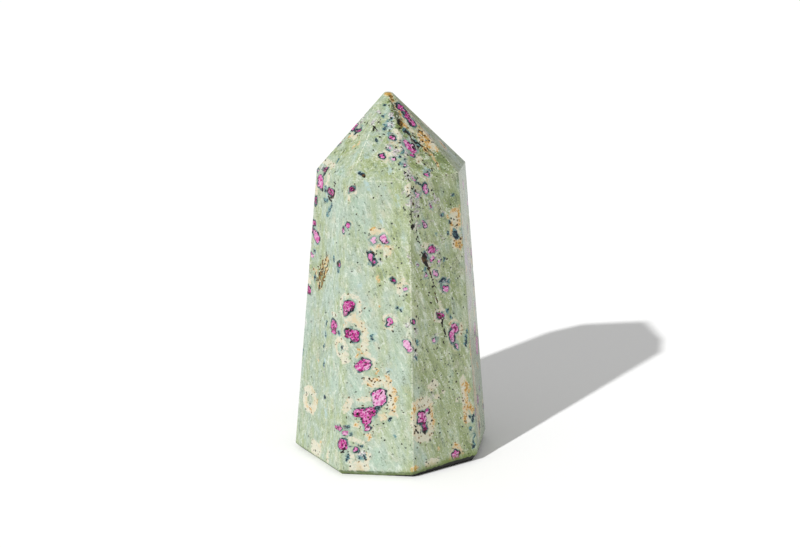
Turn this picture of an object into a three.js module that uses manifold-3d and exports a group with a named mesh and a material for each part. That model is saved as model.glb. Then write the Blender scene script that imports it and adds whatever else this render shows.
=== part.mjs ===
// A polished point of ruby in fuchsite: one stone, ground to eight tapering sides that meet
// eight tip faces at a shoulder and end in a blunt tip. The stone stands on its sawn foot.
//
// Units are millimetres and +Z is up. The stone is made as a lapidary makes it: a rough block is
// ground flat by flat, then its ridges are softened, and the rough's last corner is taken off the
// tip. Every face is a plane, so the solid is the block with one cut for each plane.
import * as THREE from "three";
import { mergeVertices } from "three/addons/utils/BufferGeometryUtils.js";
import Module from "manifold-3d";

// Driving dimensions.
const TIP_HEIGHT = 84.5; // where the eight tip faces would meet, if the tip weren't blunt
const TIP_OFFSET_X = -0.4; // the tip leans this far from the axis
const TIP_BLUNT = 0.9; // how much is ground off the sharp tip
const RIDGE_RADIUS = 0.45; // the polisher's softening of every ridge
const RIDGE_STEPS = 3; // flats that stand for that round, on each ridge
const ROUGH_WIDTH = 60;
const ROUGH_HEIGHT = 100;

// The sides, in order round the stone. No two are alike, because each was ground by hand.
// facing:   degrees from the front (-Y) towards +X
// reach:    from the axis to the side, where the side would meet the foot
// taper:    degrees that the side leans in
// shoulder: height of the shoulder where this side meets the one before it
// bevelIn:  how far the bevel between the side and the foot sets the foot's edge in
// bevelUp:  how far that bevel reaches up the side
const SIDES = [
  { facing: -58.2, reach: 20.6, taper: 4.5, shoulder: 66.7, bevelIn: 1.3, bevelUp: 1.2 },
  { facing: -6.3, reach: 21.5, taper: 4.8, shoulder: 66.9, bevelIn: 1.45, bevelUp: 1.5 },
  { facing: 35.1, reach: 21.1, taper: 4.45, shoulder: 66.7, bevelIn: 1.2, bevelUp: 1.7 },
  { facing: 79.8, reach: 21.8, taper: 4.6, shoulder: 67.1, bevelIn: 1.5, bevelUp: 2.0 },
  { facing: 123.8, reach: 20.9, taper: 4.5, shoulder: 67.2, bevelIn: 1.2, bevelUp: 1.3 },
  { facing: 169.8, reach: 21.3, taper: 4.6, shoulder: 66.8, bevelIn: 1.1, bevelUp: 1.2 },
  { facing: 214.8, reach: 21.3, taper: 4.65, shoulder: 66.9, bevelIn: 1.3, bevelUp: 1.2 },
  { facing: 259.3, reach: 21.5, taper: 5.0, shoulder: 66.8, bevelIn: 1.1, bevelUp: 1.3 },
];

const wasm = await Module();
wasm.setup();

// A plane whose normal points out of the stone, and the point where three of them meet.
function planeThrough(normal, point) {
  return new THREE.Plane().setFromNormalAndCoplanarPoint(normal, point);
}

function meetingPoint(a, b, c) {
  const bc = new THREE.Vector3().crossVectors(b.normal, c.normal);
  const ca = new THREE.Vector3().crossVectors(c.normal, a.normal);
  const ab = new THREE.Vector3().crossVectors(a.normal, b.normal);
  const share = -1 / a.normal.dot(bc);
  return new THREE.Vector3()
    .addScaledVector(bc, a.constant * share)
    .addScaledVector(ca, b.constant * share)
    .addScaledVector(ab, c.constant * share);
}

function outward(facing, rise) {
  const turn = THREE.MathUtils.degToRad(facing);
  const lift = THREE.MathUtils.degToRad(rise);
  return new THREE.Vector3(
    Math.sin(turn) * Math.cos(lift),
    -Math.cos(turn) * Math.cos(lift),
    Math.sin(lift),
  );
}

// The side that follows side i, round the stone.
const next = (i) => (i + 1) % SIDES.length;
const before = (i) => (i + SIDES.length - 1) % SIDES.length;

const foot = new THREE.Plane(new THREE.Vector3(0, 0, -1), 0);

const sideFaces = SIDES.map(({ facing, reach, taper }) =>
  planeThrough(outward(facing, taper), outward(facing, 0).multiplyScalar(reach)),
);

// A shoulder corner lies on the ridge between two sides, at that ridge's own height. Each tip
// face runs from two of those corners to the tip, so ridges and corners meet without a step.
const shoulderCorners = SIDES.map(({ shoulder }, i) =>
  meetingPoint(sideFaces[before(i)], sideFaces[i], new THREE.Plane(foot.normal, shoulder)),
);
const tip = new THREE.Vector3(TIP_OFFSET_X, 0, TIP_HEIGHT);
const tipFaces = SIDES.map((_, i) =>
  new THREE.Plane().setFromCoplanarPoints(shoulderCorners[i], shoulderCorners[next(i)], tip),
);
const tipFlat = planeThrough(new THREE.Vector3(0, 0, 1), tip.clone().setZ(TIP_HEIGHT - TIP_BLUNT));

// The bevels keep the stone's bottom edge from chipping. The side leans in as it rises, so a
// bevel runs a little less than bevelIn from the foot's edge out to the side.
const bevelFaces = SIDES.map(({ facing, reach, taper, bevelIn, bevelUp }) => {
  const run = bevelIn - bevelUp * Math.tan(THREE.MathUtils.degToRad(taper));
  const undercut = THREE.MathUtils.radToDeg(Math.atan2(run, bevelUp));
  const footEdge = outward(facing, 0).multiplyScalar(reach - bevelIn);
  return planeThrough(outward(facing, -undercut), footEdge);
});

// The flats that round the ridge between two faces: each touches a ball that rolls along the
// inside of the ridge, RIDGE_RADIUS from both faces.
function ridgeFlats(a, b) {
  const angle = a.normal.angleTo(b.normal);
  const flats = [];
  for (let step = 1; step <= RIDGE_STEPS; step++) {
    const turned = (angle * step) / (RIDGE_STEPS + 1);
    const fromA = Math.sin(angle - turned) / Math.sin(angle);
    const fromB = Math.sin(turned) / Math.sin(angle);
    const normal = new THREE.Vector3()
      .addScaledVector(a.normal, fromA)
      .addScaledVector(b.normal, fromB);
    const toBallCentre =
      fromA * (a.constant + RIDGE_RADIUS) + fromB * (b.constant + RIDGE_RADIUS);
    flats.push(new THREE.Plane(normal, toBallCentre - RIDGE_RADIUS));
  }
  return flats;
}

const ridges = SIDES.flatMap((_, i) => [
  [sideFaces[i], sideFaces[next(i)]],
  [sideFaces[i], tipFaces[i]],
  [tipFaces[i], tipFaces[next(i)]],
  [tipFaces[i], tipFlat],
  [sideFaces[i], bevelFaces[i]],
  [bevelFaces[i], bevelFaces[next(i)]],
  [bevelFaces[i], foot],
]);

// The rough block, as a manifold-3d solid. It reaches below the foot, which is a cut too.
function roughBlock() {
  const box = new THREE.BoxGeometry(ROUGH_WIDTH, ROUGH_WIDTH, ROUGH_HEIGHT);
  box.translate(0, 0, TIP_HEIGHT / 2);
  box.deleteAttribute("normal");
  box.deleteAttribute("uv");
  const merged = mergeVertices(box);
  return new wasm.Manifold(
    new wasm.Mesh({
      numProp: 3,
      vertProperties: merged.getAttribute("position").array,
      triVerts: new Uint32Array(merged.index.array),
    }),
  );
}

// trimByPlane keeps what its normal points to, so a face's outward normal is turned round.
function ground(solid, face) {
  const inward = face.normal.clone().negate();
  return solid.trimByPlane(inward.toArray(), face.constant);
}

function groundStone() {
  const faces = [foot, ...sideFaces, ...tipFaces, tipFlat, ...bevelFaces];
  const rounds = ridges.flatMap(([a, b]) => ridgeFlats(a, b));
  return [...faces, ...rounds].reduce(ground, roughBlock());
}

function geometryOf(solid) {
  const mesh = solid.getMesh();
  const geometry = new THREE.BufferGeometry();
  geometry.setAttribute("position", new THREE.BufferAttribute(mesh.vertProperties, 3));
  geometry.setIndex(new THREE.BufferAttribute(mesh.triVerts, 1));
  return geometry;
}

// The origin is the middle of the stone's footprint, on the foot.
function centred(geometry) {
  geometry.computeBoundingBox();
  const middle = geometry.boundingBox.getCenter(new THREE.Vector3());
  return geometry.translate(-middle.x, -middle.y, 0);
}

const stone = new THREE.Mesh(
  centred(geometryOf(groundStone())),
  new THREE.MeshStandardMaterial({ color: 0xb4c4a8, roughness: 0.25, metalness: 0 }),
);
stone.name = "stone_point";
stone.geometry.computeVertexNormals();

const group = new THREE.Group();
group.add(stone);

export default group;
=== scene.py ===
# %% [markdown]
# # A polished point of ruby in fuchsite
# The real object is one stone. Fuchsite is a green mica rock, and ruby crystals grew through it with
# rims of blue kyanite and halos of cream feldspar. A cutter sawed a block, ground eight long
# sides and eight tip sides on it, broke the sharp edge of the foot with a small bevel and
# polished it all over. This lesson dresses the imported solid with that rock.

import math
import random

import bmesh
import bpy
import numpy as np
from mathutils import Matrix, Vector


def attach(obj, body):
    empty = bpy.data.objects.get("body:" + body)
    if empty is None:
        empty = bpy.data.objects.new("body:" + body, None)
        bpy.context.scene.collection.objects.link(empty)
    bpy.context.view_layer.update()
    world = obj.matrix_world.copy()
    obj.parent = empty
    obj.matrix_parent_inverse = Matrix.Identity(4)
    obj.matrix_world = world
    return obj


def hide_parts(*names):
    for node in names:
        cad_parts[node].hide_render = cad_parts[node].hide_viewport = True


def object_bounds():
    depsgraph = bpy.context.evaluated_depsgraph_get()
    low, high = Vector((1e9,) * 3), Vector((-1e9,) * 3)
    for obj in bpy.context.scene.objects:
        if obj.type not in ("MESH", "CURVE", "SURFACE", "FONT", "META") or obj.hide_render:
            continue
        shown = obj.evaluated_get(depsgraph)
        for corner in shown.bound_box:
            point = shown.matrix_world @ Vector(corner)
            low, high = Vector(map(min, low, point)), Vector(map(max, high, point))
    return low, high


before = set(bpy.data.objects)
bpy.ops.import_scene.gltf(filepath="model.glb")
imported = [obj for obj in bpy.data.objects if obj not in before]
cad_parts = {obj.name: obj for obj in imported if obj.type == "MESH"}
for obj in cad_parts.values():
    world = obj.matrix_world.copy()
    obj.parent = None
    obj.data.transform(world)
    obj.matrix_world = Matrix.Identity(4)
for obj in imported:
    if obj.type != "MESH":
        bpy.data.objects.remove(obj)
cad_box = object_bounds()
MM = 0.001
SEED = 23
print("solid", [tuple(round(v / MM, 2) for v in corner) for corner in cad_box])

# %% [markdown]
# ## The eight sides and their own rulers
# Every crystal of the stone is placed on one ground face, so each face needs its own ruler. A
# ruler has a start point at the level of the foot, one direction across the face and one up the
# face. Reading these from the solid, rather than writing them down again, keeps each crystal on
# its face if the stone is ever ground to another size.

# %% Merge the loose triangles of the solid into whole faces
WELD = 0.001 * MM
SAME_PLANE = math.radians(0.05)


def whole_faces(node):
    """A bmesh of the node in which each ground face is one polygon."""
    bm = bmesh.new()
    bm.from_mesh(node.data)
    bmesh.ops.remove_doubles(bm, verts=bm.verts, dist=WELD)
    bmesh.ops.dissolve_limit(bm, angle_limit=SAME_PLANE, verts=bm.verts, edges=bm.edges)
    bm.normal_update()
    return bm


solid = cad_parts["stone_point"]
stone_bm = whole_faces(solid)
print("ground faces", len(stone_bm.faces))

# %% Name the sides A to H from the front left, going round to the right
BIG_FACE = 60 * MM * MM
BEVEL_FACE = 4 * MM * MM
TIP_SLOPE = 0.3
BEVEL_SLOPE = -0.2
NEARLY_LEVEL = 0.95
FRONT_TO_FIRST = 80


class Ruler:
    """Where a face starts, and its directions across, up and out."""

    def __init__(self, face):
        self.out = np.array(face.normal)
        level = np.array([self.out[0], self.out[1], 0.0])
        steep = np.linalg.norm(level)
        reach = float(self.out @ np.array(face.verts[0].co)) / MM
        self.reach = reach
        self.start = level / steep * reach / steep
        self.across = np.cross([0, 0, 1], self.out) / steep
        self.up = np.cross(self.out, self.across)

    def point(self, across, height):
        """The point of the face that lies this far across it, at this height above the foot."""
        return self.start + self.across * across + self.up * (height / self.up[2])


def turn_of(face):
    """Degrees round the stone, starting half way between sides H and A."""
    return (math.degrees(math.atan2(face.normal.x, -face.normal.y)) + FRONT_TO_FIRST) % 360


def rulers_of(bm):
    """The rulers of the eight sides, A to H, and of the eight tip faces, tA to tH."""
    big = [f for f in bm.faces if f.calc_area() > BIG_FACE and abs(f.normal.z) < NEARLY_LEVEL]
    found = {}
    for prefix, is_tip in (("", False), ("t", True)):
        ring = sorted((f for f in big if (f.normal.z > TIP_SLOPE) == is_tip), key=turn_of)
        for letter, face in zip("ABCDEFGH", ring):
            found[prefix + letter] = Ruler(face)
    return found


RULERS = rulers_of(stone_bm)
leaning_in = [f for f in stone_bm.faces if -NEARLY_LEVEL < f.normal.z < BEVEL_SLOPE]
bevels = [f for f in leaning_in if f.calc_area() > BEVEL_FACE]
BEVEL_PLANES = [(np.array(f.normal), float(f.normal @ f.verts[0].co) / MM) for f in bevels]
for name, ruler in RULERS.items():
    print(name, "faces", [round(float(v), 2) for v in ruler.out], "reach", round(ruler.reach, 2))

# %% [markdown]
# ## The placed crystals
# A stone like this is known by its marks, so the large ones are laid out one by one, as a
# painter would lay out the spots of one particular animal. A row gives how far across the face
# and how high above the foot a mark sits, its half width and half length, and how its length
# leans from upright, in degrees to the right. Sizes are in millimetres. A shorter row stands
# upright, and a row of three is round. Some kinds end with one number more: rubies with a depth
# of colour, from 0 for milky pink to 1 for nearly black red, rings with the width of their band,
# and soft clouds with a strength.

# %% Rubies
RUBIES = {
    "A": [
        (-4.3, 64.2, 1.2, 1.5, 0, 0.5), (0.5, 62.9, 0.7, 1.2, 80, 1), (-5.9, 59.5, 0.6, 0.9, 0, 1.4),
        (-6.3, 54.3, 0.8, 0.6, 0, 0.6), (-6.8, 52.7, 0.45, 0.7, 0, 0.9), (-4.7, 51.6, 1, 1.6, -54, 0.45),
        (-6.1, 47, 0.8, 0.5, 0, 0.2), (-6.8, 38.8, 0.95, 0.95, 0, 0.85), (5.2, 33.2, 1.3, 1.5, 0, 0.75),
        (6.8, 55.5, 0.5, 0.6, 0, 0.4), (8.3, 57, 0.6, 0.5, 0, 0.7), (5.8, 47.5, 0.6, 0.5, 0, 1),
        (9.2, 29.6, 0.3, 0.3, 0, 0.3), (9.5, 10.9, 0.5, 1.3, 65, 0.7),
    ],
    "B": [
        (-4.9, 14.9, 1.3, 1, 0, 0.75), (-2.5, 15.1, 1.4, 1, 0, 0.75), (-3.3, 13.5, 1.1, 1.1, 0, 0.65),
        (-3.2, 11.6, 0.6, 0.75, 0, 0.45), (-0.5, 18.6, 1.5, 1.8, 0, 0.3), (-4.1, 25.8, 1.2, 1.8, 60, 0.5),
        (-7.3, 33, 0.95, 0.95, 0, 0.95), (-5.9, 32, 0.95, 1.05, 0, 0.8), (-5.8, 32.9, 0.85, 0.55, 0, 0.6),
        (-7.5, 39, 1.4, 1.1, 0, 0.65), (-8.4, 37.7, 0.6, 1, 0, 0.8), (1.75, 35.8, 0.6, 0.85, 0, 0.35),
        (5.75, 30.6, 0.75, 1.45, -30, 0), (6.9, 35.9, 0.25, 0.3, 0, 0.9), (5.2, 43.2, 0.55, 0.35, 0, 0.2),
        (2.4, 45.1, 0.45, 0.4, 0, 1), (0.4, 54.1, 0.7, 1.05, -27, 0), (-1.9, 53.9, 0.5, 0.7, 0, -0.35),
        (-2.3, 50, 0.5, 1.3, -30, 0.65), (-6.5, 64.8, 0.5, 0.5, 0, 1.2), (-7.4, 64.4, 0.35, 0.35, 0, 0.7),
        (-5.7, 6.2, 0.5, 0.5, 0, 0.6), (-8.7, 7.5, 1.1, 1.3, 0, 0.9), (-8, 10.2, 0.75, 0.55, 0, 0.35),
        (-8.8, 29.7, 0.25, 0.25, 0, 0.3),
    ],
    "C": [
        (-5.7, 13.8, 1.2, 1.3, 0, 0.5), (-4.4, 14.9, 0.5, 0.5, 0, 0.3), (-5.2, 11.6, 0.45, 1.3, 0, 1.3),
        (3.2, 2.8, 0.9, 1.1, 0, 0.5), (-0.4, 45.7, 0.6, 0.65, 0, 0.1), (-3, 45.6, 0.3, 0.4, 0, 0.3),
        (2.2, 41.8, 0.8, 0.65, 0, 0.3), (0.3, 36, 0.75, 0.7, 0, 1), (1.3, 35.9, 0.4, 0.4, 0, 0.6),
        (-1.5, 30.8, 0.4, 0.5, 0, 0), (4.3, 32.3, 1, 1.1, 0, 0.45), (3.4, 31.2, 0.7, 0.6, 0, 0.35),
        (3.7, 29.4, 0.45, 0.35, 0, 0.3), (4.8, 28.1, 0.35, 0.6, 0, 0.25),
        (-2.3, 65.2, 0.4, 0.75, -10, 0.25), (-1.8, 64.2, 0.4, 0.5, 0, 0.1),
        (-4.3, 63.7, 0.35, 0.5, -20, -0.2), (-4.9, 64.5, 0.25, 0.4, 0, -0.2),
        (-0.9, 60.7, 0.25, 0.5, 0, 0.3), (-2.8, 57.1, 0.4, 0.8, -30, 0.35), (-4.4, 57, 0.22, 0.22, 0, 0),
        (-1.1, 51.1, 1, 0.8, 20, 0.6), (0.4, 50.9, 0.25, 0.3, 0, 0), (-1.1, 49, 0.6, 0.6, 0, 0.15),
        (-3, 50.2, 0.2, 0.6, -25, 0.6), (0.8, 48.2, 0.22, 0.3, 0, 0.35), (-5.2, 48.3, 0.22, 0.3, 0, 0.2),
        (-6.9, 35.8, 0.3, 0.4, 0, 0.5),
    ],
    "D": [
        (3.2, 24.2, 1.7, 2.1, 15, 0.3), (-0.5, 63.3, 0.8, 0.9, 0, 0.3), (4.4, 57.8, 0.9, 0.7, 0, 0.4),
        (-6.6, 11.4, 0.5, 0.9, 0, 0.5), (4.5, 34, 0.8, 0.6, 30, 0.6), (-1.5, 12.5, 1.2, 0.9, 40, 0.7),
    ],
    "tA": [
        (-3.1, 67.1, 0.9, 0.4, 0, 1.3), (-5.5, 66.6, 0.5, 0.25, 0, 0.4),
        (-0.4, 75.6, 0.35, 0.7, 50, 0.85), (-2.9, 76.1, 0.65, 0.7, 0, 0.75),
    ],
    "tB": [
        (1.25, 75, 0.65, 0.42, 0, 0.7), (-0.7, 71.6, 0.45, 0.42, 0, 0.45),
        (1.7, 71.05, 0.45, 0.25, 0, 0.1), (0.9, 73.2, 0.25, 0.25, 0, 0), (4.3, 69.9, 0.3, 0.25, 0, 0.1),
        (4.3, 71.1, 0.2, 0.14, 0, 0.5),
    ],
    "tC": [
        (1, 79, 0.55, 2.45, -16, 0.8), (-2.2, 74, 0.7, 0.45, 10, 0.45), (-1.75, 73.2, 0.95, 0.5, 0, 0.45),
        (-1.35, 72.4, 0.75, 0.5, 0, 0.45), (-2, 71.55, 0.6, 0.25, 0, 0.5),
        (-0.6, 67.7, 0.5, 0.27, 0, 0.2), (-4.3, 67.3, 0.35, 0.45, -30, 0.5),
    ],
}
print("rubies placed", sum(len(rows) for rows in RUBIES.values()))

# %% Cream feldspar, as patches and as rings round some rubies
CREAM = {
    "A": [
        (0.4, 2.9, 2.2, 1.8), (5.8, 2.8, 0.4, 1.6), (-6, 62, 0.6, 1.3), (-1.2, 65, 0.3, 1.6, 20),
        (5, 36, 1.2, 0.4), (-4, 51, 0.4, 0.3),
    ],
    "B": [
        (-7.5, 16.5, 0.7, 1.8, 25), (-4, 18, 1.5, 0.5), (-2, 22.1, 2.1, 1.1), (1.4, 21.6, 1, 1.2, -30),
        (2.3, 19.2, 0.8, 1.7), (2.3, 16.5, 0.7, 1.5), (2.9, 14.9, 0.7, 0.8), (0.6, 14.2, 0.9, 0.8),
        (-5.6, 12.2, 0.6, 0.5), (-2.8, 9.6, 0.5, 0.7), (-5.8, 8.5, 0.45, 2, 105), (-6.8, 4.2, 0.6, 1.3),
        (-5, 2.4, 2.2, 1.1), (-3, 4.8, 0.5, 1.2), (-6.5, 36.2, 1.3, 0.6), (-5.3, 35.5, 0.9, 1.6, -45),
        (-4.1, 33.4, 0.75, 1.7, -10), (-3.8, 30.5, 0.65, 1.5, 5), (-3.2, 28.3, 0.6, 1.4, -35),
        (-1.9, 26.2, 0.4, 1.2), (-8.4, 27.5, 1, 1.5), (-8.6, 33.4, 0.4, 2.2, 20), (4, 44, 1.9, 0.4, 110),
        (0, 52.4, 2.6, 0.5), (-0.9, 55.8, 1.8, 0.5), (1.2, 51.6, 0.7, 1.2), (-7.4, 62.9, 0.5),
        (5.6, 65.4, 0.5, 0.9),
    ],
    "C": [
        (3.2, 3.9, 0.8, 0.9), (6.6, 14.5, 0.8, 5, -4), (5.9, 19.5, 0.5, 1.6), (-5.5, 13.2, 2.9, 5),
        (-4.3, 9.2, 0.9, 1.3), (2.4, 4.3, 0.35, 1.7, 30), (4.3, 4.3, 0.35, 1.7, -30),
        (0.6, 38.2, 0.3, 1.2), (3.9, 34, 1, 0.4), (6, 31.8, 0.4, 1.4), (5.7, 56.3, 1.4, 3),
        (5.9, 51.7, 1.2, 1.3), (-2.3, 20.5, 1, 1.3, 60), (-1.4, 17.7, 0.5), (0.4, 18.4, 0.35),
        (4.2, 15.7, 0.35), (-2.8, 52.4, 0.9, 0.5), (-3.5, 2.6, 1.9, 0.9),
    ],
    "tA": [(-4.5, 68.6, 1.3, 0.5), (-1.8, 68.3, 1.5, 0.5), (-0.8, 74.5, 1.5, 0.45)],
    "tB": [(2.4, 75.4, 0.65, 1.2, -28), (0.8, 71.3, 1.5, 0.3, 110), (2.6, 73.6, 0.25, 1, -60)],
    "tC": [
        (2.9, 75.6, 1, 2, -8), (3.6, 73, 0.9, 1.3, -15), (0.3, 77.9, 0.28, 0.9, -14),
        (-0.6, 77.2, 0.6, 0.5), (0.5, 76, 0.4, 0.8, -30), (2.6, 76, 0.8, 1.4),
        (1.9, 74.2, 0.65, 0.9, -10), (4, 72.8, 0.9, 0.6), (3, 73.6, 0.4, 0.9), (-1, 70.6, 0.7, 0.6),
    ],
    "D": [(-5, 17, 1.6, 5), (-3.4, 8, 1.6, 4), (-6.6, 26, 0.6, 3), (-5, 33, 0.8, 2)],
}
CREAM_RINGS = {
    "A": [(-3.6, 13.5, 2.2, 2.3, 0, 1.7), (8.4, 29.3, 1.55, 1.8, 0, 0.9)],
    "B": [
        (-7.2, 38.9, 2.3, 2.5, 0, 0.6), (1.7, 35.8, 1.3, 1.5, 0, 0.25), (-6.9, 64.6, 1, 0.8, 0, 0.2),
        (5.2, 43.3, 1, 0.8, 0, 0.2),
    ],
    "C": [(0.4, 36, 1.3, 1.25, 0, 0.4), (-0.4, 45.7, 0.95, 1, 0, 0.2), (-1.1, 51, 1.4, 1.2, 20, 0.25)],
    "tB": [(-0.7, 71.6, 0.68, 0.64, 0, 0.3)],
}
print("cream marks", sum(len(r) for g in (CREAM, CREAM_RINGS) for r in g.values()))

# %% Rust and orange stains
STAINS = {
    "A": [
        (0.2, 46.8, 0.12, 1.2, 27), (0.5, 44.8, 0.12, 0.9, 27), (-0.4, 43.6, 0.14, 1, 25),
        (0.9, 47.4, 0.1, 0.7, 27), (-1.9, 43.6, 0.14, 1.4, 10), (-2.7, 42.2, 0.14, 1.1, 14),
        (-1.4, 41.2, 0.14, 0.9, 8), (-1, 45.4, 0.1, 1, 12), (-0.5, 47.4, 0.1, 0.6, 14),
        (-1.6, 45.2, 0.12, 1.2, 10), (-2.2, 42, 0.12, 1.2, 15), (-5.3, 44, 0.25), (-5.4, 41.8, 0.25, 0.3),
        (-4, 43.5, 0.3, 0.6), (-0.9, 23.6, 0.2), (2.4, 5.2, 0.3, 0.25), (-0.3, 13.8, 0.3, 0.6),
        (-3.2, 11.4, 0.4, 0.3), (-4.6, 11.5, 0.3),
    ],
    "B": [
        (1.6, 22.9, 0.3, 0.9, -35), (2.9, 20.6, 0.3, 0.8, -10), (3.1, 18.4, 0.35, 0.7),
        (2.9, 16.2, 0.3, 0.7), (-2.6, 21.3, 0.5, 0.25), (-1.3, 22.8, 0.5, 0.25), (-5.6, 12.2, 0.4, 0.3),
        (-2.8, 9.5, 0.4, 0.45), (-0.9, 45.4, 0.16, 0.8), (-1, 24.6, 0.18, 0.6), (-1.8, 56.4, 0.35, 0.2),
        (-0.5, 52.5, 0.5, 0.22), (1.2, 52.6, 0.4, 0.22), (-5.4, 27.7, 0.25), (-5.2, 29.1, 0.25, 0.3),
        (-4.5, 28.5, 0.25), (-8.6, 35.2, 0.25, 0.6, 10), (-0.5, 39.4, 0.18), (-2.6, 8.8, 0.2),
    ],
    "C": [
        (-7.9, 1.2, 0.3, 0.8), (-6.6, 0.5, 0.8, 0.25), (2.4, 4.1, 0.22, 1.6, 32),
        (4.3, 4, 0.22, 1.6, -32), (3.3, 5.2, 0.3, 0.4), (6.9, 16, 0.35, 3.5), (6.2, 11.5, 0.25, 1.8, -8),
        (-7.3, 0.7, 0.5, 0.4), (-2.9, 13.5, 0.25, 2.6, -8), (-8, 15.5, 0.25, 1.6, 15),
        (3.6, 5.3, 0.35, 0.3), (4.9, 3.2, 0.2, 0.9, -25), (1.8, 2.9, 0.2, 0.8, 25), (6.7, 57.5, 0.3, 2),
        (4.5, 55, 0.3, 1.6), (6.1, 51.3, 0.8), (7, 50.6, 0.35, 0.5), (3.6, 57.7, 0.3),
        (5.2, 59, 0.9, 0.3), (-1.6, 5.4, 0.3, 0.25), (-8.4, 2.2, 0.8, 0.7), (6.1, 19, 0.35, 0.25),
        (7.3, 18.6, 0.25, 0.7, -30), (7.7, 17.3, 0.25, 0.5), (7.8, 13.6, 0.4, 0.9),
        (8.4, 12.3, 0.25, 0.9), (3.2, 33.9, 0.4, 0.2),
    ],
    "D": [
        (1.3, 20.3, 0.7, 0.35, 30), (2.5, 19.3, 0.5, 0.45, -20), (-7.2, 52.5, 0.5, 0.9),
        (-6.3, 19, 0.4, 3.5), (-4.6, 13, 0.35, 3), (-3, 7, 0.4, 2.4), (-6.9, 27, 0.3, 2),
    ],
    "tA": [(2.8, 73.6, 0.3), (1.8, 72.5, 0.25), (-2.1, 74.1, 0.3, 0.25)],
    "tB": [(1.3, 74.5, 0.4, 0.15), (0.7, 83.2, 0.25)],
    "tC": [
        (2.8, 76.6, 0.8), (3.5, 74.2, 0.5, 1, -15), (-1, 83.6, 0.9, 0.5), (2.9, 73, 0.4, 0.8, -15),
        (-0.9, 83.3, 0.6, 0.5), (-0.8, 82.3, 0.4, 0.6), (-0.6, 81.4, 0.34, 0.7),
        (-0.5, 80.2, 0.3, 0.7, -5), (-0.38, 79, 0.28, 0.7), (-0.7, 77.2, 0.6, 0.4), (2.6, 76.1, 0.6, 1.1),
        (2, 74.4, 0.35, 0.9, -10), (3.1, 75.2, 0.3, 0.6), (2.1, 72.4, 0.5, 0.6),
        (2.45, 71.4, 0.22, 0.5, -30), (2.9, 70.2, 0.16, 0.8, -12), (3.1, 69, 0.14, 0.6),
        (4.8, 72, 0.3, 0.5, -20),
    ],
}
print("stains", sum(len(rows) for rows in STAINS.values()))

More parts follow.
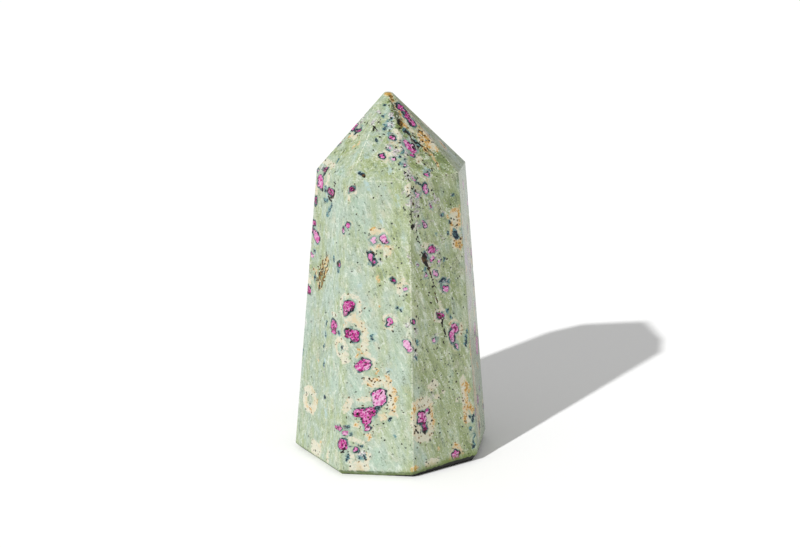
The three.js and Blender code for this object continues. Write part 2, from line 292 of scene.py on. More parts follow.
# %% Blue and teal kyanite
KYANITE = {
    "A": [
        (-1.9, 63, 0.6, 0.7), (-1.5, 60.5, 0.9, 0.35), (0.8, 59.5, 0.3, 1.2, 25), (-5.3, 48.2, 0.5, 0.35),
        (7.5, 32.2, 0.5, 0.4), (5.6, 46.4, 0.6, 0.7), (1.9, 33.3, 0.25, 0.5), (1.9, 23.4, 0.22, 0.5),
        (2.9, 16.2, 0.3, 0.4), (-8.1, 23.5, 0.25, 0.8), (-0.7, 57.5, 0.22, 0.4), (-4.4, 42.2, 0.22, 0.9),
        (1.4, 27.8, 0.18, 0.5), (1.9, 30.5, 0.22, 0.6), (3.5, 48.5, 0.25, 0.6),
    ],
    "B": [
        (-1.2, 18.8, 0.45, 0.5), (-2.1, 32, 0.22, 0.6), (1.9, 13.6, 0.3, 0.5), (3, 9.7, 0.14, 0.2),
        (5.8, 19.8, 0.14), (4.1, 38.5, 0.16, 0.3), (3.5, 38.9, 0.25, 0.3), (1.4, 24.5, 0.22, 0.25),
        (-8.7, 35.4, 0.2, 0.3), (-2.9, 51.2, 0.45), (-2.2, 48.7, 0.9, 0.3), (-2.6, 53.9, 0.25, 0.8),
        (-1.1, 53.8, 0.2, 0.7), (-7.8, 11.5, 0.7, 0.35), (-6.7, 9.8, 0.3, 0.4), (-7.6, 4.6, 0.2, 0.9, 10),
        (-4.7, 7.3, 0.6, 0.16), (-3.8, 4.9, 0.18, 0.5, -20), (-5, 4.4, 0.2, 0.35),
    ],
    "C": [
        (5.6, 53.6, 0.5, 1.25, -30), (5.3, 62.4, 0.25), (2.2, 48.6, 0.3, 0.45), (0.4, 54.5, 0.2, 0.4),
        (3.5, 54.1, 0.2, 0.4), (4, 56.7, 0.2, 0.3), (2.2, 58.6, 0.35, 0.3), (1.1, 43.7, 0.35, 0.4),
        (2, 44.1, 0.5, 0.3), (3.1, 43, 0.3, 0.6), (1.2, 42.4, 0.3, 0.4), (-3.1, 46.9, 0.25, 0.5),
        (-0.7, 30.8, 0.25, 0.6, -25), (-6.2, 31, 0.3, 0.55), (-6.6, 27.4, 0.25, 0.4),
        (7.6, 30.6, 0.22, 0.9), (7.3, 28.5, 0.3, 0.9), (2.5, 36.9, 0.2, 0.4), (3.3, 35.1, 0.18, 0.4),
        (7.6, 11.1, 0.25, 0.3), (8.5, 10.4, 0.25, 0.9), (7.8, 8.2, 0.3, 0.45), (8.8, 6.3, 0.22, 0.4),
        (8.4, 4.5, 0.3, 1), (-2.6, 49.8, 0.4, 1.2, -25),
    ],
    "tA": [(-0.6, 69.3, 0.22, 0.4), (-0.2, 76.2, 0.5, 0.35), (-1.1, 75.1, 0.5, 0.3)],
    "tB": [
        (-1.1, 81.2, 0.3, 0.2), (-1, 79.2, 0.25, 0.25, -30), (-0.5, 77.35, 0.35, 0.18), (-0.7, 76.7, 0.2),
        (0.9, 75.8, 0.45, 0.16), (0.4, 75.4, 0.16, 0.4, -30), (2, 74.5, 0.6, 0.14, 100),
        (0.5, 72.7, 0.22), (3.2, 71.4, 0.28, 0.22), (3.5, 70.2, 0.2, 0.25), (-2.15, 74.5, 0.22, 0.35),
        (-5, 68.1, 0.35, 0.5, -60), (-2.8, 80.1, 0.2), (0.6, 78.6, 0.25, 0.3), (-0.2, 78, 0.3, 0.14),
    ],
    "tC": [
        (-0.1, 73.3, 0.7, 0.8), (-0.85, 75.8, 0.35, 0.6, -35), (-0.9, 75.9, 0.35, 0.7, -35),
        (-0.2, 73.5, 0.75, 0.85), (0.6, 73.3, 0.5, 0.4), (-0.4, 72.6, 0.35, 0.4),
        (-3.9, 72.4, 0.35, 0.22), (-0.5, 68.2, 0.45, 0.16), (-3.2, 74, 0.18, 0.6, -20),
        (0.55, 78.2, 0.25, 0.75, -10), (2.2, 77.7, 0.22, 0.5), (0.1, 81.4, 0.25), (0.4, 68.3, 0.3, 0.2),
    ],
}
print("kyanite", sum(len(rows) for rows in KYANITE.values()))

# %% Black and brown grains, and the dark vein that winds down side C
GRAINS = {
    "A": [
        (0.3, 47.8, 0.14, 0.9, 25), (1.1, 46.9, 0.12, 0.8, 28), (0.4, 45.6, 0.17, 1.1, 27),
        (-0.6, 46, 0.12, 0.7, 25), (1, 45, 0.14, 0.7, 27), (-0.2, 44.3, 0.19, 1.1, 25),
        (-2.6, 44.6, 0.12, 0.6, 25), (-3.2, 45, 0.1, 0.4, 25), (-0.3, 42.8, 0.2, 0.9, 22),
        (-4.3, 43.2, 0.12, 0.5, 25), (1.9, 64.6, 0.3, 0.2), (2, 63.4, 0.3, 0.45), (1.7, 62.4, 0.3, 0.35),
        (1, 61.8, 0.5, 0.2), (-0.6, 61.4, 0.4, 0.18), (0.2, 61.5, 0.3, 0.14), (2.1, 65.2, 0.2, 0.14),
        (-1.9, 43.6, 0.25, 1.3, 8), (-2.7, 42.6, 0.2, 1.2, 12), (-1.3, 41.6, 0.2, 1.1, 5),
        (-2.3, 40.3, 0.3, 0.5), (-1.2, 45.6, 0.2, 0.9, 10), (-3.6, 41.8, 0.2, 0.5),
        (-0.6, 43.2, 0.16, 0.9, 5), (-3.4, 62.7, 0.4, 0.35), (1.8, 62.6, 0.22, 0.9),
        (0.4, 61.1, 0.9, 0.2), (1.6, 65.3, 0.25, 0.22), (2, 64.6, 0.22), (-3.1, 51.2, 0.25),
        (8.1, 57.8, 0.3, 0.22), (-6.2, 39.5, 0.25, 0.4, -30), (-6.3, 38, 0.2, 0.3), (5.5, 47.7, 0.35),
        (0.2, 2.4, 0.22, 0.2), (-1, 43, 0.18, 0.22), (-2.2, 42.9, 0.2, 0.25), (-2, 40.4, 0.22, 0.16),
        (-2.3, 41, 0.28, 0.3), (-2.9, 42.1, 0.14, 0.7, 15), (-2.2, 41.6, 0.14, 0.7, 15),
        (-0.7, 41.9, 0.16, 0.7, 30), (-0.1, 42.8, 0.16, 0.6, 10), (-2, 44.2, 0.15, 0.9, 15),
        (-1.3, 44, 0.12, 0.8, 15), (-0.8, 45.2, 0.14, 0.8, 15), (-2.4, 45.4, 0.12, 0.5, 15),
        (-1.3, 46.7, 0.13, 0.8, 15), (-0.4, 47.2, 0.12, 0.5, 15), (0, 48.6, 0.14, 0.6, 15),
        (-5.3, 44, 0.18, 0.2),
    ],
    "B": [
        (-5.2, 14.7, 0.25, 0.3), (-4.5, 13.6, 0.3, 0.2), (-3.1, 13.9, 0.22), (-2, 14.9, 0.2, 0.3, 20),
        (0.1, 19.7, 0.4, 0.14, 100), (-7.6, 34, 0.4, 0.25), (-7.2, 33.5, 0.25, 0.2),
        (-6.9, 30.9, 0.35, 0.12, 120), (2.5, 45.5, 0.22, 0.2), (5.5, 43.6, 0.25, 0.15),
        (-8.4, 6.4, 0.6, 0.14, 100), (-8.5, 5.7, 0.45, 0.16), (-7.9, 7.3, 0.16, 0.3),
        (-9.3, 8.3, 0.3, 0.18), (-1.8, 63.2, 0.15, 0.2), (-0.7, 65.8, 0.15), (-0.3, 63.8, 0.14, 0.16),
        (0.5, 60.8, 0.16), (4.9, 60.8, 0.15), (-5.8, 59.4, 0.16, 0.15), (-4.9, 56, 0.15, 0.18),
        (-6.2, 61.1, 0.15), (1.9, 52.2, 0.2, 0.16), (3.7, 52.3, 0.15), (-1.5, 50.9, 0.16),
        (-2.1, 51.4, 0.2, 0.14), (-0.5, 51, 0.15), (-0.3, 49.7, 0.16, 0.2), (-5.4, 48.8, 0.15),
        (0.6, 44.6, 0.15), (5.8, 64, 0.2, 0.18), (4.5, 63.5, 0.16), (4.1, 43.6, 0.16, 0.14),
        (6.2, 38.9, 0.15), (0.1, 25.5, 0.16), (-0.5, 29.7, 0.14, 0.16), (-0.2, 33, 0.14),
        (1.8, 23.9, 0.15), (-3.7, 38.7, 0.15), (-7, 31, 0.15), (-2.7, 22.9, 0.28, 0.16, 120),
        (-2.4, 22.5, 0.2, 0.16), (-1.5, 22.2, 0.18), (-0.5, 22.4, 0.18, 0.16), (2, 18.9, 0.28, 0.26),
        (2.1, 18.3, 0.2, 0.14), (1.5, 16.9, 0.18, 0.16), (1.2, 16, 0.18), (1.2, 15, 0.15),
        (0.6, 12.7, 0.22, 0.15), (1.6, 13.9, 0.2), (-1.7, 11.8, 0.15), (-1.8, 10.2, 0.18, 0.45),
        (0.9, 8.9, 0.18, 0.16), (-0.1, 9.4, 0.16), (-6.3, 9.3, 0.18, 0.15), (-3.8, 10, 0.18, 0.15),
        (4.7, 8.1, 0.18, 0.16), (-3.3, 4.2, 0.2), (-7.2, 5.9, 0.16), (-7, 2.6, 0.16),
        (-4, 16.6, 0.25, 0.12), (-6.2, 14.7, 0.22, 0.14),
    ],
    "C": [
        (-4.8, 64.8, 0.25, 0.3), (-5.7, 61.8, 0.2, 0.35), (-3.4, 62.8, 0.18, 0.2),
        (-5.9, 63.2, 0.15, 0.2), (-4.4, 59.2, 0.16, 0.3), (-5.6, 56.9, 0.2, 0.4), (-5, 53.8, 0.2, 0.3),
        (-6.2, 60.4, 0.15, 0.3), (-6, 58.6, 0.16, 0.4), (-3.9, 61, 0.14, 0.2), (-5.2, 65.6, 0.16, 0.2),
        (-5.2, 55.6, 0.16, 0.14), (-4.9, 56, 0.14), (-5.5, 55.2, 0.14), (-4.2, 55.4, 0.16, 0.14),
        (-5, 54.2, 0.14), (-6.6, 59.9, 0.14, 0.16), (-7, 61, 0.16, 0.14), (-4.4, 50.6, 0.14, 0.2),
        (-5.8, 15.1, 0.7, 0.2), (-3.8, 14.2, 0.5, 0.15, 130), (-5.1, 10.2, 0.3, 0.5),
        (-7.9, 12.1, 0.2, 0.3), (-7.5, 11.2, 0.22, 0.3, -30), (-7.9, 10.5, 0.18, 0.2),
        (-7, 10.7, 0.2, 0.35, -30), (-5.7, 16.4, 0.16), (-6.3, 17.9, 0.16), (-3.2, 12.5, 0.16, 0.2),
        (-3.5, 15.8, 0.16), (-2.4, 16.3, 0.18, 0.16), (4.2, 3, 0.22, 0.8), (3.6, 1.9, 0.4, 0.25),
        (-3, 46, 0.25, 0.16), (2.5, 44.1, 0.16), (0.1, 36.2, 0.35, 0.25), (-0.1, 35.5, 0.25),
        (-0.9, 51.4, 0.3, 0.16, 60), (-0.6, 48.6, 0.2), (-6.7, 29.3, 0.25, 0.3), (-6.6, 34.2, 0.2, 0.25),
        (-6.6, 31.6, 0.14, 0.5), (-2.5, 21.4, 0.35, 0.2), (5.9, 57.6, 0.22, 0.16),
        (-5.5, 22.3, 0.18, 0.15), (-7, 22.9, 0.16), (4.6, 21.7, 0.18, 0.15), (4.2, 22.4, 0.15),
        (3.3, 18.5, 0.16), (2.3, 18.9, 0.16), (2.2, 20.3, 0.15), (-0.7, 17.5, 0.18, 0.15),
        (-0.4, 17, 0.15), (1.6, 13.3, 0.16), (-1.2, 11.4, 0.16), (-2.6, 10.5, 0.18, 0.16),
        (-1, 9.2, 0.15), (-2.2, 8.2, 0.16), (6.1, 15.3, 0.16), (-8, 4.6, 0.18), (-1.1, 3.7, 0.16),
        (6.9, 3.6, 0.18), (2.7, 26.8, 0.16), (3.1, 25.8, 0.15), (-3.5, 28.6, 0.18, 0.14),
        (-2.5, 28.1, 0.16), (-5.5, 43.7, 0.16), (-4, 43.8, 0.16), (-2.4, 41.8, 0.2, 0.3, -30),
        (-2.7, 41, 0.16, 0.2), (-1.9, 39.4, 0.22, 0.2), (-3.7, 38.5, 0.15), (-3.7, 37.4, 0.15),
        (5.7, 41.9, 0.2), (6.4, 43.9, 0.2), (6.4, 36.5, 0.16), (4.1, 39.6, 0.16),
        (4.1, 35.7, 0.3, 0.15, 60), (6.3, 24.4, 0.16), (7.8, 26.4, 0.18), (-0.4, 64.4, 0.2, 0.25),
        (0, 63.4, 0.18, 0.2), (-6.5, 64, 0.2, 0.25), (-5.6, 65.2, 0.2),
    ],
    "D": [(3, 4.2, 0.45, 0.25, 20), (4.3, 3.7, 0.3, 0.2), (5, 4.6, 0.2)],
    "tA": [
        (-1.9, 71.3, 0.18, 0.15), (-0.7, 71.3, 0.15), (-0.5, 71.9, 0.15), (-0.3, 77.2, 0.15),
        (0.8, 77.4, 0.15), (-1.5, 77.2, 0.15), (-2.8, 74.6, 0.18, 0.15),
    ],
    "tB": [
        (-3.5, 77.5, 0.2), (-3.1, 76.9, 0.3, 0.22), (-3, 76.4, 0.16, 0.2), (-4.6, 77.8, 0.18, 0.14),
        (-5.2, 77.7, 0.16, 0.12), (-6, 77.7, 0.14), (-2, 77.9, 0.14), (-2.2, 76.3, 0.12, 0.4, -50),
        (-2.6, 76.6, 0.1, 0.4, -50), (-1.5, 75.1, 0.22, 0.18), (-0.8, 75.4, 0.14), (0.5, 78.7, 0.2, 0.16),
        (1.35, 78.8, 0.18, 0.2), (2.8, 77.7, 0.3, 0.5, -20), (2.7, 77, 0.3, 0.14),
        (0.5, 80.2, 0.25, 0.14), (-0.1, 81.3, 0.14), (-1.9, 79.7, 0.14), (-2, 78.6, 0.14),
        (0.6, 72.5, 0.2, 0.14), (3.2, 71.4, 0.2, 0.14), (-4.5, 67.7, 0.2, 0.4, -60),
        (4.3, 68.2, 0.2, 0.16), (4.6, 68.6, 0.16), (5.2, 68, 0.16), (3, 70.1, 0.2, 0.16),
        (3.3, 69.2, 0.16, 0.14), (-2.7, 72.6, 0.2, 0.12), (0, 67.2, 0.16, 0.14), (-0.8, 66.3, 0.2, 0.14),
        (0.6, 69.5, 0.14), (5.6, 66.9, 0.2, 0.3, -30), (2.2, 71, 0.12, 0.2), (-1.3, 71.6, 0.12, 0.3),
    ],
    "tC": [
        (-0.7, 75.3, 0.15, 0.5, -35), (0, 74, 0.14, 0.6, -35), (0.9, 73.4, 0.2, 0.5, -30),
        (0.2, 73, 0.15, 0.5, -30), (-0.5, 74.6, 0.12, 0.5, -35), (-1.4, 77.9, 0.45, 0.5, -20),
        (-2.1, 76.9, 0.3, 0.2), (2.25, 72.1, 0.3, 0.4, -25), (1.3, 73, 0.22, 0.3),
        (-0.85, 72.9, 0.25, 0.5), (1.1, 73.2, 0.25), (-1.5, 77.5, 0.4, 0.5, -15),
        (2.1, 72, 0.28, 0.45, -20), (-1.25, 83.2, 0.16, 0.14), (-0.6, 83, 0.14, 0.2),
        (-0.9, 82.7, 0.16, 0.14), (-0.35, 82.2, 0.12, 0.2), (3.1, 75.7, 0.14), (3.4, 74.9, 0.16, 0.14),
        (2.6, 75.9, 0.12, 0.14), (3.2, 76.6, 0.14), (2.4, 74.5, 0.14), (2, 73.6, 0.2, 0.14),
        (3.9, 73.8, 0.14), (-1, 83.1, 0.2, 0.14), (-0.8, 82.2, 0.22, 0.2), (-0.6, 81.4, 0.16, 0.14),
        (-0.6, 80.8, 0.16, 0.14), (-0.45, 79.6, 0.2, 0.12), (-0.6, 79, 0.16, 0.14),
        (-1.35, 77.7, 0.35, 0.5, -20), (-2, 76.9, 0.28, 0.14), (-0.1, 76.8, 0.2, 0.14),
        (-0.85, 75.6, 0.28, 0.5, -35), (-0.6, 76.6, 0.14), (0.35, 74.9, 0.24, 0.26),
        (1, 73.2, 0.25, 0.22), (-0.8, 73.6, 0.2, 0.45), (-3.1, 71.5, 0.3, 0.14), (2.2, 75.7, 0.18, 0.16),
        (2.9, 74.9, 0.14), (2.1, 72.1, 0.24, 0.36, -15), (1.9, 71.1, 0.16, 0.14), (3.1, 69.6, 0.14, 0.2),
        (3.1, 68.7, 0.14, 0.16), (1.1, 68.7, 0.16, 0.14), (1.1, 68.2, 0.16, 0.14),
        (-0.2, 70.2, 0.2, 0.14), (0, 69.4, 0.16, 0.2), (-3.6, 67.3, 0.2, 0.35, -40),
        (-4.5, 66.4, 0.25, 0.14), (-3.4, 67.9, 0.14), (4.2, 67.2, 0.14), (2.6, 78.2, 0.16, 0.4, -15),
        (1.2, 80.9, 0.14, 0.5, -20),
    ],
}
VEIN = [
    (-6.6, 58.4, 0.18), (-6.1, 57.2, 0.26), (-5.9, 56.6, 0.22), (-4.6, 54.6, 0.2), (-4.4, 53.4, 0.22),
    (-4.1, 52.7, 0.14), (-3.8, 51, 0.2), (-3.4, 50, 0.45), (-3.1, 49.2, 0.65), (-2.8, 48.3, 0.55),
    (-2.3, 47.4, 0.25), (-2, 47.2, 0.3), (-1.7, 46, 0.28), (-1.5, 45.1, 0.2), (-1, 43.8, 0.22),
    (-1.3, 42.9, 0.16), (-0.5, 42.4, 0.18), (-0.6, 41.1, 0.22), (-0.8, 40.5, 0.14), (-0.3, 39.6, 0.22),
    (0, 39.1, 0.14), (1.2, 35, 0.2), (1, 34.3, 0.3), (0.9, 33.5, 0.25), (1.5, 32.3, 0.3),
    (1.6, 31.6, 0.22), (0.9, 30.4, 0.16), (1.3, 29.5, 0.16),
]
VEIN_LEAN = -15
LINKED_BELOW = 50.5
LARGEST_GAP = 2.5
LINK = (0.14, 0.2, VEIN_LEAN)
for above, below in zip(VEIN, VEIN[1:]):
    if above[1] < LINKED_BELOW and above[1] - below[1] < LARGEST_GAP:
        middle = ((above[0] + below[0]) / 2 + 0.12, (above[1] + below[1]) / 2)
        GRAINS["C"].append((*middle, *LINK))
GRAINS["C"] += [(across, height, 0.85 * size, 1.3 * size, VEIN_LEAN) for across, height, size in VEIN]
print("grains", sum(len(rows) for rows in GRAINS.values()))

# %% [markdown]
# Soft clouds come next. Violet is the faint bloom of side D. Two more are painted light and
# shade over whole faces: painted light makes sides B and C a little paler, and painted shade
# makes side A and the tip faces tA and tB a little bluer and darker. The small rubies of side C
# and of two tip faces sit in lilac, so those clouds are made from the rubies' own rows.

# %% Soft clouds in the green: lilac, pale blue, violet, clear mint, olive, and painted light and shade
LILAC = {
    "A": [
        (2.2, 22.4, 0.5, 1, 0, 0.8), (-3.6, 13.5, 0.9, 1.1, 0, 0.5), (-0.4, 3, 0.8, 0.6, 0, 0.6),
        (3.5, 48.5, 0.6, 1, 0, 0.5), (5.8, 47.6, 0.9, 0.8, 0, 0.7), (-5.6, 47.8, 1, 0.9, 0, 0.5),
    ],
    "B": [
        (-4.6, 5.6, 1.3, 1.3, 0, 0.9), (-0.5, 49.5, 0.7, 1.2, 0, 0.8), (6.1, 35.4, 0.9, 0.7, -50, 0.9),
        (5.9, 50, 0.7, 1.5, -25, 0.9), (-4.5, 51.5, 0.8, 1.2, 0, 0.5), (1.8, 35.8, 1.1, 1.2, 0, 0.9),
        (-6.8, 64.6, 1, 0.9, 0, 0.7), (0, 11.6, 0.7, 0.9, 0, 0.6), (1.2, 64, 0.6, 1.2, 0, 0.4),
        (4.2, 65.5, 1.6, 1.2, 0, 0.5), (5.5, 63.6, 0.8, 1.6, 0, 0.7),
    ],
    "C": [
        (-7.2, 65.6, 0.9, 1.3, 0, 0.9), (-6.6, 62.6, 1, 1.6, 0, 0.85), (-4.9, 60.2, 0.9, 1.4, 0, 0.8),
        (-5.2, 57.4, 0.8, 1.2, 0, 0.9), (0.2, 62.6, 0.6, 1.2, 0, 0.8), (-3.4, 59.6, 0.7, 0.9, 0, 0.7),
        (-2.1, 58.5, 0.7, 0.6, 0, 0.9), (-0.5, 57.3, 0.8, 0.7, 0, 0.6), (2.2, 58.6, 0.7, 0.7, 0, 0.8),
        (1.3, 61.5, 0.9, 1.4, 0, 0.8), (4.4, 62.2, 0.7, 0.8, 0, 0.7), (-4.5, 62.2, 1.1, 1.5, 0, 0.9),
        (-5.5, 60.9, 0.7, 0.9, 0, 0.7), (-5.8, 64.4, 1.2, 1.6, 0, 0.7), (-2.4, 64.4, 1.1, 1.3, 0, 0.8),
        (1.6, 53.3, 0.7, 1, 0, 0.8), (2.1, 43, 1.4, 1.5, 0, 1), (-3, 49.2, 1, 1.7, -25, 0.9),
        (-3.1, 46.4, 0.7, 0.9, 0, 0.8), (-1.4, 31.9, 0.8, 0.8, 0, 0.8), (-6.8, 28.3, 0.7, 1.2, 0, 0.9),
        (-2.7, 17.9, 1, 1.2, 0, 0.7), (-1.3, 14.8, 0.7, 1.5, 0, 0.6), (5, 31, 1.2, 1.2, 0, 0.6),
        (-6.5, 34, 0.6, 2, 0, 0.7), (-3.1, 57.6, 0.8, 1, -30, 0.7),
    ],
    "D": [
        (-0.5, 63.3, 1.6, 1.5, 0, 0.7), (4.5, 58, 1.8, 1.4, 0, 0.7), (-4.7, 46.8, 1.8, 1.8, 0, 0.7),
        (0.5, 43.7, 2.8, 2.8, 0, 0.7), (-3.8, 36, 2.8, 2.4, 0, 0.7), (3.3, 24, 2.6, 3.2, 0, 0.7),
        (-6.8, 11.2, 1.3, 1.6, 0, 0.8),
    ],
    "tA": [(-4.5, 67.4, 1, 0.5, 0, 0.9), (-1.6, 79.3, 0.8, 0.6, 0, 0.7), (0.1, 69.3, 0.4, 0.4, 0, 0.5)],
    "tB": [
        (-3.2, 78, 0.9, 0.6, 0, 0.9), (-2.2, 80.1, 0.6, 0.6, 0, 0.8), (0.9, 79.3, 0.9, 0.8, 0, 1.2),
        (0.6, 77.3, 1.4, 0.8, 0, 0.8), (-1.9, 76.2, 0.8, 0.5, -40, 0.7), (-1, 74.4, 0.7, 0.5, -40, 0.7),
        (0.8, 73.2, 0.7, 0.6, 0, 1.2), (2, 72.5, 1, 0.5, -30, 1.2), (3.2, 71.6, 0.6, 0.5, -40, 1.1),
        (4.2, 70.1, 0.7, 0.6, 0, 1.2), (4.4, 68.5, 0.6, 0.5, 0, 0.8), (5.3, 67.8, 0.7, 0.9, 0, 1.2),
        (2.6, 67.2, 1.2, 0.6, 0, 0.4),
    ],
    "tC": [
        (-3.7, 72.6, 0.9, 0.9, 0, 0.8), (-0.2, 69.4, 0.5, 0.5, 0, 0.8), (-4.4, 69.4, 1, 0.9, 0, 0.6),
        (-4.7, 67.5, 0.9, 0.6, 0, 0.8), (3.7, 73.3, 0.4, 0.6, 0, 0.7),
    ],
    "tD": [(-0.1, 71.1, 1.2, 0.9, 0, 0.6), (-3, 74.5, 0.9, 0.6, 0, 0.8)],
}
PALE_BLUE = {
    "A": [
        (0.5, 34, 9, 44, 0, 0.3), (5.5, 42, 1.2, 1.8, 0, 0.6), (7.2, 38.7, 0.6, 0.8, 0, 0.7),
        (2.6, 52.2, 0.6, 0.9, 0, 0.6), (-3.8, 39.1, 0.5, 0.8, 0, 0.6), (-1.4, 31.2, 0.5, 0.9, 0, 0.6),
        (1.9, 25, 0.5, 3, 0, 0.8), (2, 30.5, 0.9, 1.6, 0, 0.7), (3.7, 13, 1.2, 2.8, 0, 0.8),
        (5, 18, 0.7, 1.2, 0, 0.7), (-7, 23.6, 0.6, 0.9, 0, 0.7), (-6.5, 20.4, 0.9, 0.5, 0, 0.7),
        (-3.2, 17.8, 0.6, 0.6, 0, 0.6), (-7, 17, 0.6, 0.8, 0, 0.6), (-5.2, 4.2, 0.5, 0.5, 0, 0.7),
        (-3.9, 4.1, 0.4, 0.4, 0, 0.6), (-0.9, 62, 1.2, 1.6, 0, 0.9), (-4.6, 50.6, 1.5, 0.7, -54, 0.9),
        (-5.3, 48.3, 0.9, 0.8, 0, 0.8),
    ],
    "B": [
        (-3.3, 65.5, 0.8, 2.2, -20, 0.9), (0.6, 65.2, 0.4, 1.5, 0, 0.8), (3.4, 62.5, 0.6, 2.4, 0, 0.8),
        (-0.3, 57.5, 0.6, 2, 0, 0.9), (4.9, 53.5, 0.5, 1.8, 0, 0.7), (-4.6, 62.3, 0.35, 1, -30, 0.7),
        (-4.8, 43.7, 0.7, 1.2, 0, 0.7), (-3.3, 42, 0.5, 0.8, 0, 0.7), (1.7, 25.2, 0.9, 0.9, 0, 0.7),
        (-1.7, 33, 0.7, 1.4, 0, 0.7), (-1, 49.2, 0.9, 1.2, -20, 0.8), (4.4, 39.2, 0.9, 0.8, 0, 0.8),
        (-3.2, 24.2, 1.6, 0.4, 40, 0.6), (3.6, 57.5, 0.7, 2.5, 5, 0.5),
    ],
    "C": [
        (4.5, 16.5, 0.5, 1.3, 0, 0.7), (4.9, 12.5, 0.35, 0.9, 0, 0.7), (-1.8, 8, 0.5, 1.5, 0, 0.7),
        (2, 8, 0.5, 1.4, 0, 0.7), (0.8, 52.3, 0.9, 1, 0, 0.4), (-0.4, 56.6, 0.8, 0.6, 0, 0.6),
        (6.2, 12, 0.4, 1.5, 0, 0.5),
    ],
    "tA": [(-2, 76, 0.5, 0.5, 0, 0.9), (-0.4, 70.2, 0.5, 1.5, 20, 0.5), (-4, 68, 2, 0.4, 0, 0.6)],
    "tB": [
        (-2.2, 81.8, 0.5, 0.8, 0, 1), (-4.1, 71.3, 0.8, 1.2, 0, 0.8), (1.3, 68.8, 0.5, 1.4, -20, 0.8),
        (0.4, 77.3, 1.6, 0.9, 0, 1), (0.2, 75.6, 1, 0.5, -20, 0.9), (-5.3, 68.3, 0.7, 0.5, 0, 0.9),
        (-2, 74, 0.6, 0.6, 0, 0.7),
    ],
    "tC": [
        (-0.6, 74.4, 1.2, 0.9, 0, 0.9), (-0.5, 68.6, 0.9, 0.5, 0, 0.8), (-3.5, 73.2, 0.6, 1.1, -20, 1.1),
        (-2.6, 75.4, 0.8, 0.5, 0, 0.9),
    ],
}
VIOLET = {
    "D": [
        (-3.5, 46.5, 2.8, 3.6, 0, 1.1), (0.8, 42.5, 3, 2.6, 0, 1), (-2.5, 36.2, 3.2, 2.4, 0, 0.9),
        (-4.5, 52.5, 2, 2, 0, 0.6), (3.3, 24, 3, 3.2, 0, 0.8), (4.4, 57.8, 1.8, 1.6, 0, 0.7),
    ],
    "B": [(-8.2, 0.6, 0.9, 0.6, 0, 1.2)],
}
MINT = {
    "A": [
        (-6, 30, 3, 7, 0, 0.5), (3.5, 58, 3.5, 6, 0, 0.5), (8.4, 29.3, 1, 1.2, 0, 1),
        (6.8, 22, 1.6, 6, 0, 0.6), (5.2, 35.2, 1.6, 0.9, 0, 0.8), (7.4, 32.4, 0.9, 1.2, 0, 0.9),
        (2, 40, 2, 5, 10, 0.4),
    ],
    "B": [
        (3.6, 26, 3, 9, 0, 0.5), (4, 12, 2.2, 5, 0, 0.4), (-3, 38.6, 0.9, 3, 0, 0.9),
        (-2.1, 31.5, 1, 4, -10, 0.9), (-5.5, 20, 1.4, 3, 0, 0.9), (-0.5, 4, 2, 3.2, 0, 0.9),
        (-5.4, 38.8, 0.9, 2.4, 0, 0.8), (-6.6, 23, 0.9, 5, 0, 0.6), (4.5, 28, 2.5, 4, 0, 0.35),
        (-5.8, 45, 1.5, 4, 0, 0.6), (-4.6, 59, 2, 5, -10, 0.6), (0.5, 40.5, 1.3, 3, 0, 0.5),
        (3.5, 3.2, 2.2, 1.6, 0, 0.5),
    ],
    "C": [
        (-7.6, 7.5, 0.8, 2.2, 0, 0.9), (-5.8, 4, 1, 1.7, 0, 0.9), (-6, 20, 1.5, 2.8, 0, 0.6),
        (-5, 52, 0.9, 1.5, 0, 0.7), (4.5, 37.5, 1.5, 3.2, 0, 0.6), (3.5, 51, 1.3, 1.7, 0, 0.8),
        (6, 45.5, 1.2, 4, 0, 0.6), (2.2, 63.8, 1.4, 1.8, 0, 0.5), (-4.2, 36.5, 1.6, 4, 0, 0.4),
    ],
    "tA": [(4.6, 71.4, 0.9, 1.5, 0, 0.8), (3, 67.8, 2, 0.9, 0, 0.8), (-5, 68, 0.7, 0.5, 0, 0.9)],
    "tB": [(-0.2, 80.3, 0.9, 1.5, 0, 0.8), (-4.4, 73.6, 1.2, 2, -30, 0.6)],
    "tC": [(-0.6, 70.8, 1, 0.8, 0, 1), (-0.9, 69, 0.8, 0.7, 0, 0.6)],
}
